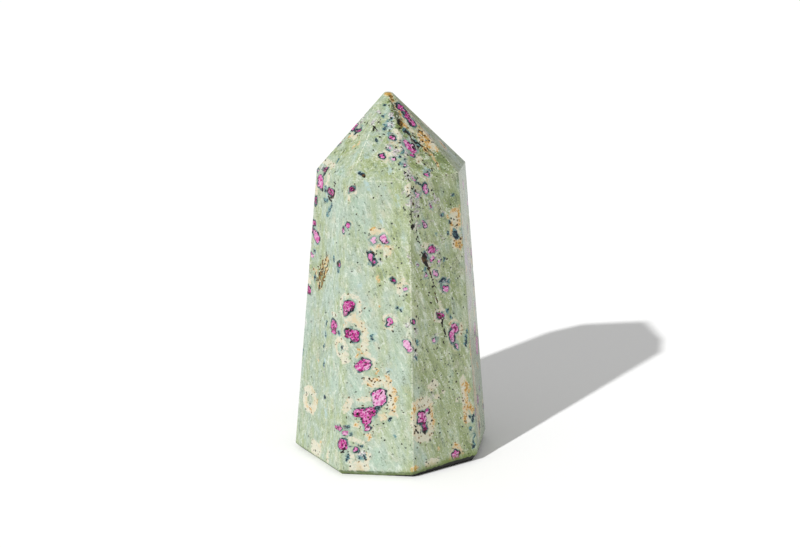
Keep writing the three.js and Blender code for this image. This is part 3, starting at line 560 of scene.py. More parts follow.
OLIVE = {
    "A": [(-3.6, 27, 2.4, 3, 0, 0.4), (-1.8, 43.8, 2.4, 3.6, 20, 0.8), (-4.8, 57, 2, 2, 0, 0.4)],
    "B": [
        (3, 53, 2.2, 5.5, 0, 0.7), (4, 45.5, 2.2, 3, 0, 0.5), (0.5, 46.5, 1.8, 2.5, 0, 0.8),
        (4.5, 59.5, 2.2, 4, 0, 0.4), (-1.2, 41.5, 1.2, 2.5, 0, 0.5), (4.6, 24, 2, 3, 0, 0.2),
        (4.6, 12, 2.2, 4, 0, 0.3), (-3.8, 30.2, 1.6, 2.2, 0, 0.5), (-6.7, 25.5, 1.2, 3.5, 0, 0.4),
        (-5.5, 55.5, 1.5, 3, 20, 0.4),
    ],
    "C": [
        (-1.5, 62.5, 1.6, 2.5, 0, 1.3), (4.8, 61, 1.6, 3, 0, 1.3), (1.8, 56.5, 1.5, 2, 0, 1.1),
        (5.6, 47, 1.4, 4, 0, 1.2), (4.6, 40, 1.2, 4, -10, 1.1), (-6.6, 50, 1, 4, 0, 1.1),
        (-7.6, 44, 0.8, 4, 0, 1), (1.6, 12, 1.4, 3, 0, 1.1), (5, 26, 1.3, 4, 0, 1.1),
        (-1.5, 5, 1.3, 2, 0, 0.9), (6.9, 3.5, 1, 2, 0, 1.7), (-6, 27, 1.2, 3.5, 0, 1),
        (0.5, 34, 9, 44, 0, 0.75), (2, 1.4, 7, 1.3, 0, 1.4), (6.5, 66, 1.2, 1.2, 0, 1.2),
        (5.7, 6, 1.2, 2.2, 0, 1), (3.5, 22, 3, 6, 0, 0.7), (-3, 33, 2.5, 5, 0, 0.5),
        (1, 60, 3, 4, 0, 0.5), (-5, 42, 2, 5, 0, 0.8), (1.5, 25.5, 3, 5, 0, 0.6),
        (4.6, 10, 1.8, 3, 0, 0.8), (-4, 55, 1.8, 4, -20, 0.7),
    ],
    "tA": [(0, 72, 6, 7, 0, 0.3)],
    "tB": [(-2, 70, 3, 2.2, 0, 0.6), (2.5, 68.6, 2, 1.2, 0, 0.5), (0, 75, 5, 7, 0, 0.3)],
    "tC": [
        (0.5, 77, 3, 4, -15, 1.3), (4, 70, 3.4, 3, 0, 1.7), (-1.15, 80.2, 0.75, 2.4, -3, 4.5),
        (2.9, 71.6, 2.2, 1, -30, 2), (-1.45, 78.2, 0.7, 1.3, 0, 4.5), (1.5, 68.4, 2, 1.2, 0, 0.9),
        (1, 74, 6, 8, 0, 1.25), (1.2, 71, 1.4, 1.4, 0, 1.3), (1.3, 75, 0.5, 1.6, -25, 1.5),
    ],
}
WHOLE_SIDE = (0, 34, 14, 60, 0)
WHOLE_TIP = (0, 74, 10, 12, 0)
# Painted light over sides B and C, painted shade over side A and the tip faces tA and tB.
PAINTED_LIGHT_SIDES = {"B": [(*WHOLE_SIDE, 1)], "C": [(*WHOLE_SIDE, 0.8)]}
PAINTED_SHADE_SIDES = {"A": [(*WHOLE_SIDE, 0.7)], "tA": [(*WHOLE_TIP, 0.6)], "tB": [(*WHOLE_TIP, 0.6)]}
SMALL_RUBY = 1.0
for name in ("C", "tB", "tC"):
    for across, height, wide, long, turn, _ in RUBIES[name]:
        if max(wide, long) < SMALL_RUBY:
            LILAC[name].append((across, height, wide + 0.4, long + 0.5, turn, 1.1))
print("clouds", sum(len(r) for g in (LILAC, PALE_BLUE, MINT, OLIVE) for r in g.values()))

# %% [markdown]
# ## The sides behind
# The same rock carries on round the back, so the four sides and tip faces there, and most of
# side D, get crystals too. They are scattered by a seeded random draw, with the sizes, halos and
# grains of the placed ones, and a crystal that would sit on top of another is thrown away. A
# field says how far to each side of the middle marks may fall, and between which heights. The
# counts are of rubies, stains, grains and clouds of each tint. A tip face narrows towards the
# apex, and a ruby that would lie past its edge is left out. So is one on the part of side D, or
# of its tip face, that already has its placed crystals.

# %% Scatter crystals on the faces behind
TRIES = 40
SIDE_FIELD = (7.6, 3.0, 64.0)
TIP_FIELD = (4.2, 69.0, 79.0)
SIDE_COUNTS = (17, 7, 30, 6)
TIP_COUNTS = (4, 3, 8, 2)
RUBIES_APART, STAINS_APART, GRAINS_APART, CLOUDS_APART = 3.0, 4.0, 1.2, 5.0
PLACED_UP_TO = {"D": -2.5, "tD": 2.5}
APEX_HEIGHT = cad_box[1][2] / MM
NARROWING = 0.42
RING_CHANCE = 0.35
PATCH_CHANCE = 0.6


def scattered(rng, field, count, apart, taken=()):
    """Places across and up a face, at least this far apart and clear of the taken ones."""
    width, low, high = field
    spots = []
    for _ in range(TRIES * count):
        spot = (rng.uniform(-width, width), rng.uniform(low, high))
        if all(math.dist(spot, other[:2]) > apart for other in [*spots, *taken]):
            spots.append(spot)
        if len(spots) == count:
            break
    return spots


def crystals_behind(name, rng):
    """Rubies with their halos, stains, kyanite, grains and clouds on one hidden face."""
    is_tip = name.startswith("t")
    field = TIP_FIELD if is_tip else SIDE_FIELD
    rubies, stains, grains, clouds = TIP_COUNTS if is_tip else SIDE_COUNTS
    for table in (RUBIES, CREAM, CREAM_RINGS, STAINS, KYANITE, GRAINS, LILAC, PALE_BLUE, MINT, OLIVE):
        table.setdefault(name, [])
    for across, height in scattered(rng, field, rubies, RUBIES_APART, RUBIES[name]):
        beyond_ridge = is_tip and abs(across) > NARROWING * (APEX_HEIGHT - height)
        if beyond_ridge or across < PLACED_UP_TO.get(name, -field[0]):
            continue
        size = rng.uniform(0.35, 0.7) if is_tip else 0.35 + 1.1 * rng.random() ** 2
        long, turn, depth = size * rng.uniform(1.0, 1.6), rng.uniform(-60, 60), rng.uniform(0.15, 1.0)
        RUBIES[name].append((across, height, size, long, turn, depth))
        if rng.random() < RING_CHANCE:
            CREAM_RINGS[name].append((across, height, size + 0.9, long + 0.9, turn, 0.5))
        elif rng.random() < PATCH_CHANCE:
            drift = (across + rng.uniform(-1, 1), height - rng.uniform(0.5, 2.0))
            CREAM[name].append((*drift, size + 0.8, long + 1.0, turn))
        KYANITE[name].append((across + size, height - long, 0.3, 0.4, turn))
        LILAC[name].append((across - size, height + long, 0.9, 1.1, turn, 0.6))
    for spot in scattered(rng, field, stains, STAINS_APART):
        STAINS[name].append((*spot, rng.uniform(0.2, 0.4), rng.uniform(0.3, 0.9), 20))
        CREAM[name].append((*spot, rng.uniform(0.5, 1.5), rng.uniform(0.6, 1.8), 20))
    for spot in scattered(rng, field, grains, GRAINS_APART):
        GRAINS[name].append((*spot, rng.uniform(0.14, 0.24), rng.uniform(0.14, 0.26)))
    for table, strength in ((PALE_BLUE, 0.7), (MINT, 0.6), (OLIVE, 0.7), (LILAC, 0.6)):
        for spot in scattered(rng, field, clouds, CLOUDS_APART):
            half = (rng.uniform(0.5, 2.0), rng.uniform(1.0, 4.0))
            table[name].append((*spot, *half, rng.uniform(-15, 15), strength))


behind = random.Random(SEED)
for name in ("D", "E", "F", "G", "H", "tD", "tE", "tF", "tG", "tH"):
    crystals_behind(name, behind)
print("rubies in all", sum(len(rows) for rows in RUBIES.values()))

# %% [markdown]
# ## Measuring how far each point is from a crystal
# A crystal is a lump inside the stone, and the cutter's wheel shows a slice of it. So each mark
# is a lump in space, a rounded block with its middle on the face, and a mark on a ridge carries
# on round to the next side, as it does in real rock. What is kept at each point of the surface
# is the distance to the nearest lump of a kind, negative inside. A distance blends smoothly
# between points, so the material can cut a crisp outline from it. Soft clouds keep a strength.

# %% Lumps in space
BOXY = 3.4
THICK = 0.85
THINNEST = 0.18
CORNER = 1.4
WAVES = ((2.3, 0.15, 0.4), (1.25, 0.08, 1.7), (0.8, 0.05, 2.9))
WAVE_STARTS = np.array([0.0, 2.1, 4.2])


class Crowd:
    """Many points, sorted by height so that those near a place are found quickly."""

    def __init__(self, at):
        self.at = at
        self.order = np.argsort(at[:, 2])
        self.heights = at[self.order, 2]

    def within(self, middle, reach):
        """The numbers of the points at most this far from the middle."""
        first, last = np.searchsorted(self.heights, (middle[2] - reach, middle[2] + reach))
        some = self.order[first:last]
        gap = self.at[some] - middle
        return some[(gap * gap).sum(1) < reach * reach]


class Lump:
    """A rounded block inside the stone whose slice shows on a face."""

    def __init__(self, face, across, height, half_wide, half_long=None, turn=0):
        ruler = RULERS[face]
        lean = math.radians(turn)
        if half_long is None:
            half_long = half_wide
        self.middle = ruler.point(across, height)
        upward = ruler.up * math.cos(lean) + ruler.across * math.sin(lean)
        sideways = ruler.across * math.cos(lean) - ruler.up * math.sin(lean)
        self.axes = np.array([sideways, upward, ruler.out])
        half_long = half_long / ruler.up[2]
        half_thick = max(THICK * min(half_wide, half_long), THINNEST)
        self.half = np.array([half_wide, half_long, half_thick])
        self.size = float(max(self.half))

    def reading(self, points, power):
        """How many half sizes out each point is, and the slope of that number per millimetre."""
        local = np.abs((points - self.middle) @ self.axes.T) / self.half + 1e-9
        out = (local**power).sum(1) ** (1 / power)
        slope = (local ** (power - 1) / self.half) / out[:, None] ** (power - 1)
        return out, np.linalg.norm(slope, axis=1)

    def near(self, crowd, reach):
        """The numbers of the points of a crowd within reach of the lump."""
        return crowd.within(self.middle, CORNER * self.size + reach)

    def distance(self, points):
        """Millimetres from the lump's skin, negative inside it."""
        out, slope = self.reading(points, BOXY)
        return (out - 1) / slope


def wavering(points):
    """The points moved a little by slow waves, so that no lump keeps a perfect outline."""
    moved = points.copy()
    swapped = np.roll(points, 1, axis=1) + 0.6 * np.roll(points, 2, axis=1)
    for length, amount, start in WAVES:
        moved += amount * np.sin(2 * math.pi / length * swapped + start + WAVE_STARTS)
    return moved


def lumps_of(table):
    """Each row of a table as a lump, with the extra number that the row ends with, if any."""
    return [(Lump(face, *row[:5]), row[5:]) for face, rows in table.items() for row in rows]


RING_LUMPS = lumps_of(CREAM_RINGS)
CRISP_TABLES = {"ruby": RUBIES, "cream": CREAM, "stain": STAINS, "kyanite": KYANITE, "grain": GRAINS}
LUMPS = {kind: lumps_of(table) for kind, table in CRISP_TABLES.items()}
CRISP = [lump for lumps in (*LUMPS.values(), RING_LUMPS) for lump, _ in lumps]
print("crisp lumps", len(CRISP))

# %% [markdown]
# ## A skin with enough points
# Marks kept at points need points to sit on. The whole faces are sliced by level planes and two
# sets of upright planes with the bisect operator, and then every edge that is too long for its
# place is cut in half, again and again: long edges are fine in plain green rock, but near the
# outline of a small grain they must be short. That puts the points where the pattern is. The
# slices leave some slivers of no size, which are dissolved before the skin is cut into triangles.

# %% Slice the faces, then halve the long edges near outlines
SLICE = 2.8
HALF_ACROSS = 22.0
ON_PLANE = 1e-7
TINY_EDGE = 0.01 * MM
PLAIN_EDGE = 1.3
UNDERSIDE = 0.05
UNDERSIDE_EDGE = 3.0
FINE_EDGE = 0.22
COARSE_EDGE = 0.46
EDGE_PER_SIZE = 0.55
OUTLINE_BAND = 0.25
TOO_LONG = 1.35
ROUNDS = 7


def slice_all(bm, axis, low, high):
    """Cuts the skin with planes across one axis, a slice apart."""
    for step in range(int(low / SLICE), int(high / SLICE) + 1):
        where = Vector(axis) * (step * SLICE * MM)
        parts = bm.verts[:] + bm.edges[:] + bm.faces[:]
        bmesh.ops.bisect_plane(bm, geom=parts, dist=ON_PLANE, plane_co=where, plane_no=Vector(axis))


def wanted_edge(points):
    """How long an edge may be at each point, in millimetres."""
    wanted = np.full(len(points), PLAIN_EDGE)
    crowd = Crowd(points)
    for lump in CRISP:
        near = lump.near(crowd, OUTLINE_BAND)
        gap = np.abs(lump.distance(points[near]))
        fine = float(np.clip(EDGE_PER_SIZE * min(lump.half[:2]), FINE_EDGE, COARSE_EDGE))
        close = near[gap < OUTLINE_BAND + 0.3 * fine]
        wanted[close] = np.minimum(wanted[close], fine)
    wanted[points[:, 2] < UNDERSIDE] = UNDERSIDE_EDGE
    return wanted


def halve_long_edges(bm):
    """One round of cutting each edge that is too long. Says how many it cut."""
    ends = np.array([[*e.verts[0].co, *e.verts[1].co] for e in bm.edges]) / MM
    length = np.linalg.norm(ends[:, :3] - ends[:, 3:], axis=1)
    wanted = wanted_edge((ends[:, :3] + ends[:, 3:]) / 2)
    bm.edges.ensure_lookup_table()
    long = [bm.edges[i] for i in np.nonzero(length > TOO_LONG * wanted)[0]]
    if long:
        bmesh.ops.subdivide_edges(bm, edges=long, cuts=1, use_single_edge=True)
        bmesh.ops.triangulate(bm, faces=[f for f in bm.faces if len(f.verts) > 3])
    return len(long)


slice_all(stone_bm, (0, 0, 1), 2.0, 82.0)
slice_all(stone_bm, (1, 0, 0), -HALF_ACROSS, HALF_ACROSS)
slice_all(stone_bm, (0, 1, 0), -HALF_ACROSS, HALF_ACROSS)
bmesh.ops.dissolve_degenerate(stone_bm, dist=TINY_EDGE, edges=stone_bm.edges[:])
bmesh.ops.triangulate(stone_bm, faces=stone_bm.faces[:])
for _ in range(ROUNDS):
    cut = halve_long_edges(stone_bm)
    print("halved", cut, "edges, skin now", len(stone_bm.faces), "triangles")
    if not cut:
        break

# %% [markdown]
# ## Hand work on the edges
# A hand-held stone meets the wheel a little unevenly, and its ridges get small nicks in use. The
# nicks are shallow dents pressed in along the ridges. They are real dents in the mesh, about a
# tenth of a millimetre deep, while scratches and grain stay in the finish. How pale a ridge is,
# from wear and from a painted highlight where its rounded edge catches the light, is read from a
# short list: the ridge, how strongly, and from what height up to what.

# %% Press shallow nicks along the ridges
NICKS = 46
NICK_RADIUS = (0.35, 0.9)
NICK_DEPTH = (0.04, 0.13)
NICK_STRIP = 0.12
ABOVE_FOOT = 2.0
# Each ridge by its two faces: strength of its wear and painted highlight, and the heights it spans.
WORN_AND_SHINING_RIDGES = {
    "B C": (0.65, 1, 67),
    "tA tB": (1.0, 70, 77),
    "B tB": (0.4, 0, 90),
    "A B": (0.3, 0, 50),
    "tA A": (0.2, 0, 90),
    "tB tC": (0.0, 0, 90),
    "C tC": (0.2, 0, 90),
    "C D": (0.0, 0, 90),
    "tA tH": (0.3, 0, 74),
}
USUAL_WEAR_AND_SHEEN = 0.35
SHARP_FROM = math.radians(5)
stone_mesh = bpy.data.meshes.new("ruby_in_fuchsite_stone")
stone_bm.to_mesh(stone_mesh)
stone_bm.free()
points = np.empty(len(stone_mesh.vertices) * 3)
stone_mesh.vertices.foreach_get("co", points)
points = points.reshape(-1, 3) / MM
PLANES = [(ruler.out, ruler.reach) for ruler in RULERS.values()]


def ridge_depth(at):
    """How far under the second nearest face plane each point is: near 0 on a ridge."""
    heights = np.array([at @ out - reach for out, reach in PLANES])
    return np.sort(heights, axis=0)[-2]


def press_nicks(at, rng, count):
    """Moves points near a ridge inwards at a few places."""
    ridge = np.nonzero((ridge_depth(at) > -NICK_STRIP) & (at[:, 2] > ABOVE_FOOT))[0]
    for _ in range(count):
        centre = at[ridge[rng.randrange(len(ridge))]]
        radius, deep = rng.uniform(*NICK_RADIUS), rng.uniform(*NICK_DEPTH)
        gap = np.linalg.norm(at - centre, axis=1)
        close = gap < radius
        inward = np.array([centre[0], centre[1], 0.0])
        inward /= np.linalg.norm(inward) + 1e-9
        at[close] -= inward * (deep * (1 - (gap[close] / radius) ** 2))[:, None]


def ridge_wear_and_sheen(at):
    """Wear and painted highlight of the nearest ridge, read from the two faces that meet there."""
    names = list(RULERS)
    order = np.argsort([at @ out - reach for out, reach in PLANES], axis=0)
    wear_and_sheen = np.full(len(at), USUAL_WEAR_AND_SHEEN)
    for ridge, (strength, low, high) in WORN_AND_SHINING_RIDGES.items():
        pair = sorted(names.index(name) for name in ridge.split())
        here = (np.sort(order[-2:], axis=0) == np.array(pair)[:, None]).all(0)
        pale_ridge_part = (at[:, 2] > low) & (at[:, 2] < high)
        wear_and_sheen[here] = strength * pale_ridge_part[here]
    return wear_and_sheen


ridge_reading = ridge_depth(points)
press_nicks(points, random.Random(SEED + 1), NICKS)
stone_mesh.vertices.foreach_set("co", (points * MM).ravel())
stone_mesh.update()
stone_mesh.set_sharp_from_angle(angle=SHARP_FROM)
print("skin points", len(points), "triangles", len(stone_mesh.polygons))

# %% [markdown]
# The readings are kept under short names. Besides the crystals and clouds there are four about
# the shape: how near a ridge is, how pale it is from wear and painted highlight, how far into
# the foot bevel a point lies, and the painted shade just above the foot, which reaches highest
# at the front right.

# %% Keep the distances and strengths on the points
FAR = 2.0
PLAIN_DEPTH = 0.5
CLOUD_EDGE = 0.9
# Painted shade above the foot: how high it reaches, and how much higher at the front right.
FOOT_SHADE_HEIGHT = 0.38
FOOT_SHADE_RISE = 1.2
FRONT_FROM, FRONT_OVER = 6.0, 12.0
RIGHT_FROM, RIGHT_OVER = 1.8, 11.0
waved = wavering(points)
crowd = Crowd(waved)


def keep(name, values):
    """Stores one number per point of the skin for the material to read."""
    layer = stone_mesh.attributes.new(name, "FLOAT", "POINT")
    layer.data.foreach_set("value", values.astype(np.float32))
    print(name, "from", round(float(values.min()), 2), "to", round(float(values.max()), 2))


def nearest(lumps):
    """Distance to the nearest of these lumps, and the extra number of the one that is nearest."""
    field = np.full(len(points), FAR)
    extra = np.full(len(points), PLAIN_DEPTH)
    for lump, rest in lumps:
        near = lump.near(crowd, FAR)
        gap = lump.distance(waved[near])
        closer = gap < field[near]
        field[near[closer]] = gap[closer]
        if rest:
            extra[near[closer]] = rest[0]
    return field, extra


def nearest_ring(lumps):
    """Distance to the nearest ring, where a ring is a band astride the lump's outline."""
    field = np.full(len(points), FAR)
    for lump, (width,) in lumps:
        near = lump.near(crowd, FAR)
        gap = np.abs(lump.distance(waved[near])) - width / 2
        field[near] = np.minimum(field[near], gap)
    return field


def cloud(table):
    """Strength of the soft marks of a kind, fading outwards from each."""
    field = np.zeros(len(points))
    for lump, (strength,) in lumps_of(table):
        near = lump.near(crowd, lump.size)
        out, _ = lump.reading(waved[near], 2.0)
        field[near] = np.maximum(field[near], strength * np.exp(-CLOUD_EDGE * out**2))
    return field


ruby_field, ruby_depth = nearest(LUMPS["ruby"])
keep("ruby", ruby_field)
keep("depth", ruby_depth)
keep("cream", np.minimum(nearest(LUMPS["cream"])[0], nearest_ring(RING_LUMPS)))
for kind in ("stain", "kyanite", "grain"):
    keep(kind, nearest(LUMPS[kind])[0])
CLOUDS = {"lilac": LILAC, "pale_blue": PALE_BLUE, "violet": VIOLET, "mint": MINT, "olive": OLIVE}
for kind, table in CLOUDS.items():
    keep(kind, cloud(table))
# Painted light and shade over whole faces: light above zero, shade below.
keep("haze", cloud(PAINTED_LIGHT_SIDES) - cloud(PAINTED_SHADE_SIDES))
keep("ridge", ridge_reading)
keep("wear_and_sheen", ridge_wear_and_sheen(points))
keep("foot_bevel", np.max([points @ out - reach for out, reach in BEVEL_PLANES], axis=0))
towards_front = np.clip((FRONT_FROM - points[:, 1]) / FRONT_OVER, 0, 1)
towards_right = np.clip((points[:, 0] - RIGHT_FROM) / RIGHT_OVER, -0.25, 1)
keep("grime", FOOT_SHADE_HEIGHT + FOOT_SHADE_RISE * towards_right * towards_front - points[:, 2])

# %% [markdown]
# ## Shader sums in plain Python
# A material is a net of nodes, but a recipe reads better as sums. A Reading is a number that
# changes over the stone. Adding or multiplying readings adds Math nodes behind the scenes, so
# the recipe for the rock can be written and read as arithmetic.


# %% Readings and the finish that makes them
class Reading:
    """One value that varies over the surface, held by a node socket."""

    def __init__(self, finish, socket):
        self.finish = finish
        self.socket = socket

    def sum(self, operation, first, second):
        """The reading that one Math node gives."""
        return self.finish.node("ShaderNodeMath", {"operation": operation}, {0: first, 1: second})

    def __add__(self, other):
        return self.sum("ADD", self, other)

    __radd__ = __add__

    def __sub__(self, other):
        return self.sum("SUBTRACT", self, other)

    def __rsub__(self, other):
        return self.sum("SUBTRACT", other, self)

    def __mul__(self, other):
        return self.sum("MULTIPLY", self, other)

    __rmul__ = __mul__


class Finish:
    """A material whose nodes are added one method call at a time."""

    def __init__(self, name):
        self.material = bpy.data.materials.new(name)
        self.material.use_nodes = True
        self.nodes = self.material.node_tree.nodes
        self.links = self.material.node_tree.links
        self.nodes.clear()

    def node(self, kind, settings, sockets, output=0):
        """Adds a node: its settings first, then the value or the link of each named socket."""
        made = self.nodes.new(kind)
        for key, value in settings.items():
            setattr(made, key, value)
        for key, value in sockets.items():
            if isinstance(value, Reading):
                self.links.new(value.socket, made.inputs[key])
            else:
                made.inputs[key].default_value = value
        return Reading(self, made.outputs[output]) if made.outputs else None

    def kept(self, name):
        """A number kept on the points of the skin."""
        return self.node("ShaderNodeAttribute", {"attribute_name": name}, {}, "Fac")

    def ramp(self, value, start, end):
        """Rises smoothly from 0 at start to 1 at end. Falls if start is the larger."""
        low, high, at_low, at_high = (start, end, 0, 1) if start < end else (end, start, 1, 0)
        sockets = {"Value": value, "From Min": low, "From Max": high}
        sockets |= {"To Min": at_low, "To Max": at_high}
        return self.node("ShaderNodeMapRange", {"interpolation_type": "SMOOTHSTEP"}, sockets)

    def coat(self, under, over, mask):
        """The over colour laid on the under colour where the mask is 1."""
        return self.node("ShaderNodeMix", {"data_type": "RGBA"}, {0: mask, 6: under, 7: over}, 2)


print("finish helpers ready")

# %% [markdown]
# ## Where on the stone: millimetres, and slanting grain
# Every pattern here is cut from the solid rock, so it is measured in three dimensions, in object
# coordinates, and meets itself properly round each ridge. The mica lies in long slanting
# streaks, which come from noise on coordinates that are squeezed along the grain.

# %% Coordinates in millimetres and the noises
rock = Finish("ruby_in_fuchsite_polished")
kept, ramp, coat = rock.kept, rock.ramp, rock.coat
place = rock.node("ShaderNodeTexCoord", {}, {}, "Object")
millimetres = rock.node("ShaderNodeVectorMath", {"operation": "SCALE"}, {0: place, "Scale": 1 / MM})


def stretched(lean, times, shift=0.0):
    """Millimetres in which every blotch is drawn out along one leaning direction."""
    sockets = {"Vector": millimetres, "Rotation": lean, "Scale": (1, 1, times)}
    sockets["Location"] = (shift, shift, shift)
    return rock.node("ShaderNodeMapping", {"vector_type": "TEXTURE"}, sockets)


def noise(size, detail=2.0, rough=0.5, where=millimetres, warp=0.0):
    """Noise between minus and plus a half, in blotches about this many millimetres across."""
    sockets = {"Vector": where, "Scale": 1 / size, "Detail": detail, "Roughness": rough}
    sockets["Distortion"] = warp
    return rock.node("ShaderNodeTexNoise", {}, sockets, 0) - 0.5


def cells(size, where=millimetres, feature="F1", output="Distance"):
    """Distance to the nearest of scattered seeds, which are about this far apart."""
    sockets = {"Vector": where, "Scale": 1 / size, "Randomness": 1.0}
    return rock.node("ShaderNodeTexVoronoi", {"feature": feature}, sockets, output)


def ragged(amount):
    """Millimetres pushed about by fine noise, so that what is cut from them has a ragged edge."""
    push = rock.node("ShaderNodeTexNoise", {}, {"Vector": millimetres, "Scale": 3.0, "Detail": 1.0}, 1)
    scaled = rock.node("ShaderNodeVectorMath", {"operation": "SCALE"}, {0: push, "Scale": amount})
    return rock.node("ShaderNodeVectorMath", {"operation": "ADD"}, {0: millimetres, 1: scaled})


def seeds(size):
    """A chance number from 0 to 1 for each grain of a packing, and the distance from its heart."""
    where = ragged(0.9 * size)
    chance = rock.node("ShaderNodeSeparateColor", {}, {0: cells(size, where, output="Color")}, 0)
    return chance, cells(size, where)


broad = noise(9.0, 2.0)
patch = noise(3.2, 3.0, 0.55)
mottle = noise(1.3, 3.0, 0.6)
speckle = noise(0.55, 2.0, 0.65)
dust = noise(0.3, 1.0, 0.7)
upright = stretched((0.10, -0.12, 0.0), 5.0)
slanting = stretched((0.10, -0.48, 0.0), 6.0, 5.0)
streak = noise(0.9, 3.0, 0.62, upright)
wisp = noise(0.75, 4.0, 0.65, slanting, 0.3)
cloudy = noise(2.4, 3.0, 0.6, stretched((0.0, -0.25, 0.0), 2.2, 2.0), 0.5)
hair = noise(1.9, 2.0, 0.5, slanting, 0.4)
brush = noise(1.5, 3.0, 0.6, stretched((0.05, -0.18, 0.0), 6.5, 8.0), 0.5)
fine_chance, fine_gap = seeds(0.42)
bold_chance, bold_gap = seeds(0.75)
fine_heart = ramp(fine_gap, 0.66, 0.44)
print("noises ready", len(rock.nodes), "nodes")

# %% [markdown]
# ## The green rock
# Fuchsite is mica coloured green by chromium, here pale and felted with grey-green and beige, so
# the rock is first a slow drift between mint and olive and then a fine, low-contrast fleck. The
# flecks matter more than the colours: without them polished stone looks like plastic.

# %% Mix the greens
MINT_GREEN = (0.308, 0.380, 0.314, 1)
PALE_MINT = (0.300, 0.415, 0.325, 1)
OLIVE_GREEN = (0.265, 0.315, 0.137, 1)
DEEP_OLIVE = (0.130, 0.178, 0.045, 1)
MOSS = (0.135, 0.180, 0.045, 1)
DEEP_MOSS = (0.040, 0.050, 0.015, 1)
MINERAL_BEIGE = (0.430, 0.430, 0.330, 1)
DARK_FLECK = (0.080, 0.105, 0.055, 1)
PALE_FLECK = (0.560, 0.600, 0.500, 1)
HAIR_WHITE = (0.600, 0.640, 0.570, 1)
PAINTED_SHADE_BLUE = (0.080, 0.120, 0.200, 1)

mint_here = kept("mint")
olive_here = kept("olive")
drift = 0.42 + broad * 0.5 + patch * 0.6 + streak * 0.4 + brush * 1.1
drift = drift + olive_here * 0.6 - mint_here * 0.6
green = coat(MINT_GREEN, OLIVE_GREEN, ramp(drift, 0.1, 0.9))
mint_cloud = mint_here + cloudy * 1.1 + brush * 1.0 + mottle * 0.4 - olive_here * 0.5
green = coat(green, PALE_MINT, ramp(mint_cloud, 0.12, 0.85) * 0.75)
olive_amount = ramp(olive_here, 0.0, 1.0)
very_olive = ramp(olive_here, 2.0, 1.0)
felt = mottle * 1.2 + streak * 1.0 + brush * 2.4 + speckle * 1.5 + dust * 1.2
green = coat(green, DEEP_OLIVE, ramp(olive_here * 0.9 + felt, 0.4, 1.1) * 0.9)
green = coat(green, PALE_MINT, ramp(felt, -0.2, -0.7) * olive_amount * very_olive * 0.7)
green = coat(green, MOSS, ramp(olive_here + felt * 0.6, 0.85, 1.6) * 0.8)
green = coat(green, DEEP_MOSS, ramp(olive_here + felt * 0.5, 1.7, 2.3) * 0.9)
beige_cloud = patch * 0.8 - cloudy * 1.0 + speckle * 0.5 - wisp * 0.6
green = coat(green, MINERAL_BEIGE, ramp(beige_cloud, 0.04, 0.32) * 0.6)
flecks = speckle * 0.6 + dust * 1.1 + mottle * 0.5 + wisp * 1.1 + streak * 0.8
shade = flecks * (0.9 + olive_amount * 0.7)
green = coat(green, PALE_FLECK, ramp(shade, 0.0, 0.6) * 0.9)
green = coat(green, DARK_FLECK, ramp(shade, 0.0, -0.6) * 0.9)
# Painted light and shade over whole faces: paler on B and C, bluer and darker on A, tA and tB.
haze = kept("haze")
green = coat(green, PALE_FLECK, ramp(haze, 0.0, 1.0) * 0.13)
green = coat(green, PAINTED_SHADE_BLUE, ramp(haze, 0.0, -1.0) * 0.13)
hairline = ramp(hair * hair, 0.0006, 0.0) * ramp(patch + wisp, -0.08, 0.12)
green = coat(green, HAIR_WHITE, hairline * (0.45 - olive_amount * 0.25))
print("green rock", len(rock.nodes), "nodes")

# %% [markdown]
# ## Lilac, pale blue and cream
# Round the rubies the rock has changed: feldspar left cream patches with a mealy edge, and thin
# kyanite tints the green pale blue or lilac. Their outlines are ragged, so noise is added to the
# kept distance before it is cut.

# %% Lay the soft tints and the cream
VIOLET_GREY = (0.330, 0.250, 0.370, 1)
LILAC_GREY = (0.250, 0.245, 0.280, 1)
LILAC_PINK = (0.480, 0.360, 0.430, 1)
PEPPER_NAVY = (0.060, 0.075, 0.090, 1)
SKY_BLUE = (0.300, 0.420, 0.430, 1)
CREAM_WHITE = (0.535, 0.505, 0.405, 1)
CREAM_TAN = (0.520, 0.430, 0.280, 1)

blue_mask = ramp(kept("pale_blue") + wisp * 1.2 + speckle * 0.6, 0.3, 0.85)
tinted = coat(green, SKY_BLUE, blue_mask * very_olive * 0.7)
tinted = coat(tinted, VIOLET_GREY, ramp(kept("violet") + streak * 1.2, 0.35, 1.0) * 0.8)
lilac_mask = ramp(kept("lilac") + mottle * 1.0 + speckle * 1.2, 0.3, 0.8) * very_olive
pepper = noise(0.36, 1.0, 0.5, millimetres, 0.6)
lilac_tone = coat(LILAC_GREY, LILAC_PINK, ramp(speckle + dust, -0.1, 0.1))
lilac_tone = coat(lilac_tone, PEPPER_NAVY, ramp(pepper, 0.04, 0.11) * 0.9)
lilac_tone = coat(lilac_tone, HAIR_WHITE, ramp(pepper, -0.05, -0.12) * 0.9)
tinted = coat(tinted, lilac_tone, lilac_mask * 0.8)
cream_edge = kept("cream") + mottle * 1.1 + speckle * 1.5 + dust * 1.1
cream_mask = ramp(cream_edge, 0.24, -0.10)
cream_tone = coat(CREAM_WHITE, CREAM_TAN, ramp(patch + mottle * 0.9, -0.08, 0.22))
cream_tone = coat(cream_tone, green, ramp(speckle + dust * 1.1 + wisp, 0.0, 0.22) * 0.6)
ground = coat(tinted, cream_tone, cream_mask * 0.9)
print("cream", len(rock.nodes), "nodes")

# %% [markdown]
# ## Rust, kyanite and grains
# Iron has bled orange along the edges of the cream, blue kyanite sits in small dark blades, and
# black grains of mica and oxide pepper everything. Besides the placed grains, a scatter of
# pin-point ones comes from two cell patterns, a fine and a bolder one, of which only a few cells
# are let through.

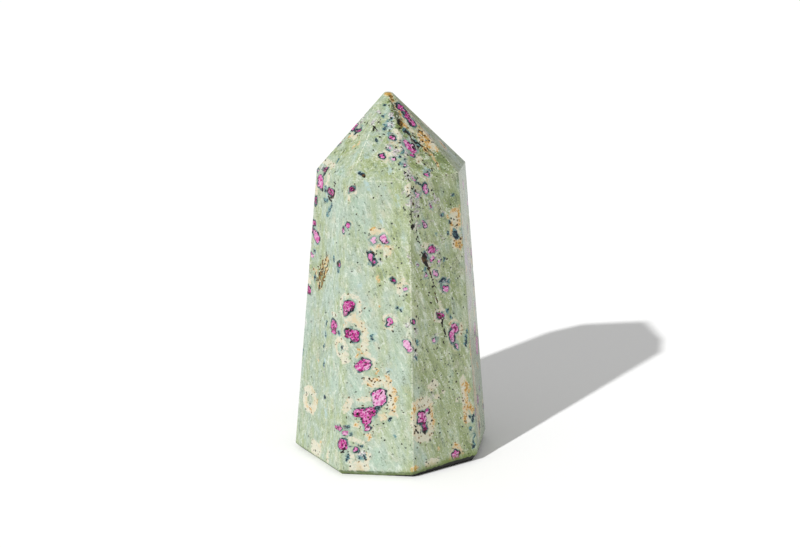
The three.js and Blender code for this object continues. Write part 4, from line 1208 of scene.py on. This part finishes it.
# %% Lay the rust, the kyanite and the grains
RUST = (0.330, 0.160, 0.022, 1)
PEACH = (0.590, 0.430, 0.250, 1)
OCHRE = (0.470, 0.285, 0.045, 1)
TEAL = (0.110, 0.220, 0.225, 1)
NAVY = (0.008, 0.015, 0.030, 1)
BLACK_GRAIN = (0.009, 0.007, 0.006, 1)
BROWN_GRAIN = (0.080, 0.044, 0.016, 1)
GOLDEN_GRAIN = (0.165, 0.092, 0.012, 1)
SPECK_DARK = (0.050, 0.060, 0.050, 1)

stain_edge = kept("stain") + speckle * 1.1 + mottle * 0.6
ochre_mask = ramp(stain_edge, 0.3, -0.1)
rust_mask = ramp(kept("stain") + dust * 1.6 + speckle * 1.0, 0.06, -0.2)
stain_tone = coat(PEACH, OCHRE, ramp(stain_edge + dust, 0.0, -0.25))
ground = coat(ground, stain_tone, ochre_mask * 0.75)
ground = coat(ground, RUST, rust_mask * ramp(fine_chance, 0.3, 0.6) * 0.8)

ruby_near = ramp(kept("ruby"), 1.0, 0.1)
cream_near = ramp(cream_edge, 0.55, 0.15)
dark_share = 0.008 + olive_here * 0.03 + lilac_mask * 0.10 + ruby_near * 0.05 + cream_near * 0.09
pale_share = olive_amount * 0.02 + lilac_mask * 0.06
rust_share = ramp(cream_near + ochre_mask, 0.5, 1.5) * ramp(bold_chance, 0.35, 0.65)
speck_tone = coat(SPECK_DARK, RUST, rust_share * 0.9)
specks = ramp(fine_chance - dark_share, 0.01, -0.01) * fine_heart
ground = coat(ground, speck_tone, specks * 0.95)
pale_specks = ramp(1 - fine_chance - pale_share, 0.01, -0.01) * fine_heart
ground = coat(ground, HAIR_WHITE, pale_specks * 0.6)

kyanite_edge = kept("kyanite") + speckle * 0.9
kyanite_tone = coat(TEAL, NAVY, ramp(speckle + dust + mottle * 0.8, -0.16, 0.03))
ground = coat(ground, TEAL, ramp(kyanite_edge, 0.42, 0.10) * 0.45)
ground = coat(ground, kyanite_tone, ramp(kyanite_edge, 0.18, 0.02))

grain_tone = coat(BLACK_GRAIN, BROWN_GRAIN, ramp(mottle, 0.02, 0.14))
rusty = ramp(kept("stain"), 0.9, 0.3) * ramp(mottle + speckle, -0.05, 0.06)
grain_tone = coat(grain_tone, GOLDEN_GRAIN, rusty)
bold_share = 0.012 + olive_here * 0.035 + ruby_near * 0.05 + cream_near * 0.05
pins = ramp(bold_chance - bold_share, 0.01, -0.01) * ramp(bold_gap, 0.38, 0.24)
ground = coat(ground, grain_tone, pins * 0.96)
print("grains", len(rock.nodes), "nodes")

# %% [markdown]
# ## The rubies
# Each ruby here is a six-sided crystal cut across, milky pink to deep magenta, with pale cracks
# and purple spots inside, and a thin dark rim of kyanite where it met the rock. The rim is the
# mark of this stone, so it is laid first and wider, and the ruby on top of it.

# %% Lay rims and rubies
MILKY_PINK = (0.560, 0.330, 0.460, 1)
ROSE = (0.440, 0.110, 0.290, 1)
MAGENTA = (0.380, 0.012, 0.185, 1)
RUBY_HEART = (0.130, 0.004, 0.050, 1)
DARK_SPOT = (0.025, 0.008, 0.018, 1)
PALE_CRACK = (0.660, 0.450, 0.580, 1)
HALO_MINT = (0.185, 0.300, 0.240, 1)
RIM_DARK = (0.006, 0.009, 0.014, 1)
RIM_TEAL = (0.065, 0.125, 0.130, 1)

facets = noise(0.6, 3.0, 0.6, stretched((0.5, 0.8, 0.3), 2.6, 3.0), 0.4)
ruby_edge = kept("ruby") + speckle * 0.35 + mottle * 0.25
depth = kept("depth") + facets * 3.6 + speckle * 1.0 + dust * 0.7
ruby_tone = coat(MILKY_PINK, ROSE, ramp(depth, -0.05, 0.45))
ruby_tone = coat(ruby_tone, MAGENTA, ramp(depth, 0.35, 0.75))
ruby_tone = coat(ruby_tone, RUBY_HEART, ramp(depth, 0.75, 1.15))
crack_lines = cells(0.8, feature="DISTANCE_TO_EDGE") + speckle * 0.15
ruby_tone = coat(ruby_tone, PALE_CRACK, ramp(crack_lines, 0.07, 0.0) * 0.5)
spot_share = 0.05 + kept("depth") * 0.14 + ramp(kept("ruby"), -0.4, -0.1) * 0.18
spots = ramp(fine_chance - spot_share, 0.01, -0.01) * ramp(fine_gap, 0.8, 0.55)
ruby_tone = coat(ruby_tone, DARK_SPOT, spots * 0.85)

halo = ramp(ruby_edge + dust * 0.6, 0.95, 0.45) * ramp(patch + mottle * 0.6, -0.12, 0.12)
ground = coat(ground, cream_tone, halo * 0.6)
near_ruby = ramp(ruby_edge + mottle * 0.8, 0.68, 0.3) * ramp(patch + speckle, -0.15, 0.05)
ground = coat(ground, HALO_MINT, near_ruby * 0.65)
rim_width = kept("depth") * 0.2 + patch * 1.8 + mottle * 1.6 + 0.01
rim_tone = coat(RIM_DARK, RIM_TEAL, ramp(mottle + dust + speckle, 0.0, 0.2))
ground = coat(ground, RIM_TEAL, ramp(ruby_edge - rim_width, 0.24, 0.02) * 0.5)
rim_mask = ramp(ruby_edge - rim_width, 0.05, -0.07)
ground = coat(ground, rim_tone, rim_mask)
ruby_mask = ramp(ruby_edge, 0.03, -0.07)
ground = coat(ground, ruby_tone, ruby_mask)
grain_mask = ramp(kept("grain") + dust * 0.1, 0.10, 0.0)
ground = coat(ground, grain_tone, grain_mask)
print("rubies", len(rock.nodes), "nodes")

# %% [markdown]
# ## Pale ridges, the foot bevel and the polish
# The ridges are pale, partly from wear and partly as a painted highlight where a rounded edge
# catches the light. The bevel at the foot was left as the grinder cut it, duller, and painted
# shade darkens it and the rock just above it, down to black at the bottom, reaching highest at
# the front right. The faces are polished: ruby harder and glossier than mica, so the roughness
# follows the mineral. A very low bump gives the polish its faint orange-peel.

# %% Finish the surface and give it to the stone
RIDGE_PALE = (0.560, 0.580, 0.470, 1)
BEVEL_SHADE_GREEN = (0.050, 0.095, 0.050, 1)
FOOT_SHADE_BLACK = (0.004, 0.005, 0.003, 1)
STONE_IOR = 1.30
STONE_ROUGHNESS = 0.26
BUMP_STRENGTH = 0.05
BUMP_HEIGHT = 0.1 * MM

# Pale ridges: partly wear, partly a painted highlight where the rounded edge catches the light.
wear_and_sheen = kept("wear_and_sheen") * ramp(kept("ridge") + mottle * 0.15, -0.13, -0.04)
pale_ridge_part = ramp(streak + speckle * 1.8 + dust * 1.5, -0.22, 0.12)
ground = coat(ground, RIDGE_PALE, wear_and_sheen * pale_ridge_part)
bevel_mask = ramp(kept("foot_bevel"), -0.06, -0.02)
# Painted shade: the foot bevel, which faces down, is coated a darker green.
ground = coat(ground, BEVEL_SHADE_GREEN, bevel_mask * ramp(mottle + streak, -0.15, 0.05) * 0.75)
# Painted shade above the foot: a dark olive gradient, then black at the bottom.
shadowed = kept("grime") + mottle * 0.9 + streak * 0.8
ground = coat(ground, DEEP_OLIVE, ramp(shadowed, -1.9, -0.1) * 0.85)
ground = coat(ground, FOOT_SHADE_BLACK, ramp(shadowed, -0.1, 0.06))

roughness = STONE_ROUGHNESS + mottle * 0.15 - ruby_mask * 0.10 + bevel_mask * 0.25 + cream_mask * 0.04
height = speckle * 0.4 + mottle * 0.6 - grain_mask * 0.8
bump_sockets = {"Strength": BUMP_STRENGTH, "Distance": BUMP_HEIGHT, "Height": height}
bump = rock.node("ShaderNodeBump", {}, bump_sockets)
shader = {"Base Color": ground, "Roughness": roughness, "Normal": bump, "IOR": STONE_IOR}
polished = rock.node("ShaderNodeBsdfPrincipled", {}, shader)
rock.node("ShaderNodeOutputMaterial", {}, {"Surface": polished})

stone = bpy.data.objects.new("ruby_in_fuchsite_stone", stone_mesh)
bpy.context.scene.collection.objects.link(stone)
stone_mesh.materials.clear()
stone_mesh.materials.append(rock.material)
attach(stone, "root")
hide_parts("stone_point")
print("stone finished with", len(rock.nodes), "nodes")

# %% [markdown]
# ## Floor, light and camera
# A plain pale floor shows the shadow and the true outline of the foot. The key light is a sun
# from the front left at middling height, wide enough for a soft shadow edge, and an even pale
# sky fills the shaded sides.

# %% Lay a plain pale floor
FLOOR_HALF = 1.6
FLOOR_WHITE = (0.89, 0.89, 0.885, 1)
FLOOR_ROUGHNESS = 0.9
FLOOR_GLOSS = 0.2

floor_bm = bmesh.new()
bmesh.ops.create_grid(floor_bm, x_segments=1, y_segments=1, size=FLOOR_HALF)
floor_mesh = bpy.data.meshes.new("floor")
floor_bm.to_mesh(floor_mesh)
floor_bm.free()
floor = bpy.data.objects.new("floor", floor_mesh)
bpy.context.scene.collection.objects.link(floor)
plain = Finish("floor_pale")
floor_look = {"Base Color": FLOOR_WHITE, "Roughness": FLOOR_ROUGHNESS, "Specular IOR Level": FLOOR_GLOSS}
floor_shader = plain.node("ShaderNodeBsdfPrincipled", {}, floor_look)
plain.node("ShaderNodeOutputMaterial", {}, {"Surface": floor_shader})
floor_mesh.materials.append(plain.material)
print("floor", 2 * FLOOR_HALF, "m wide")

# %% Light it
SUN_TOWARDS = Vector((-0.509, -0.640, 0.575))
SUN_STRENGTH = 3.45
SUN_WIDTH = math.radians(1.4)
SKY = (0.54, 0.54, 0.54, 1)

sun_data = bpy.data.lights.new("key_light", "SUN")
sun_data.energy = SUN_STRENGTH
sun_data.angle = SUN_WIDTH
sun = bpy.data.objects.new("key_light", sun_data)
sun.rotation_euler = SUN_TOWARDS.to_track_quat("Z", "Y").to_euler()
bpy.context.scene.collection.objects.link(sun)
world = bpy.data.worlds.new("soft_sky")
world.use_nodes = True
world.node_tree.nodes["Background"].inputs["Color"].default_value = SKY
bpy.context.scene.world = world
bpy.context.scene.view_settings.view_transform = "Standard"
print("sun height", round(math.degrees(math.asin(SUN_TOWARDS.normalized().z)), 1), "degrees")

# %% Stand the camera where the stone is seen from slightly above
CAMERA_PLACE = Vector((-0.15, -367.82, 146.86)) * MM
CAMERA_TURN = math.radians(0.349)
CAMERA_DOWN = math.radians(16.0)
CAMERA_ROLL = math.radians(0.05)
LENS = 74.9
FILM_WIDTH = 36.0
NEAREST_SEEN = 0.01

camera_data = bpy.data.cameras.new("camera")
camera_data.lens = LENS
camera_data.sensor_width = FILM_WIDTH
camera_data.clip_start = NEAREST_SEEN
camera = bpy.data.objects.new("camera", camera_data)
looking = Matrix.Rotation(-CAMERA_TURN, 4, "Z") @ Matrix.Rotation(math.pi / 2 - CAMERA_DOWN, 4, "X")
camera.matrix_world = Matrix.Translation(CAMERA_PLACE) @ looking @ Matrix.Rotation(-CAMERA_ROLL, 4, "Z")
bpy.context.scene.collection.objects.link(camera)
bpy.context.scene.camera = camera
print("camera is", round(CAMERA_PLACE.length, 3), "m from the foot")
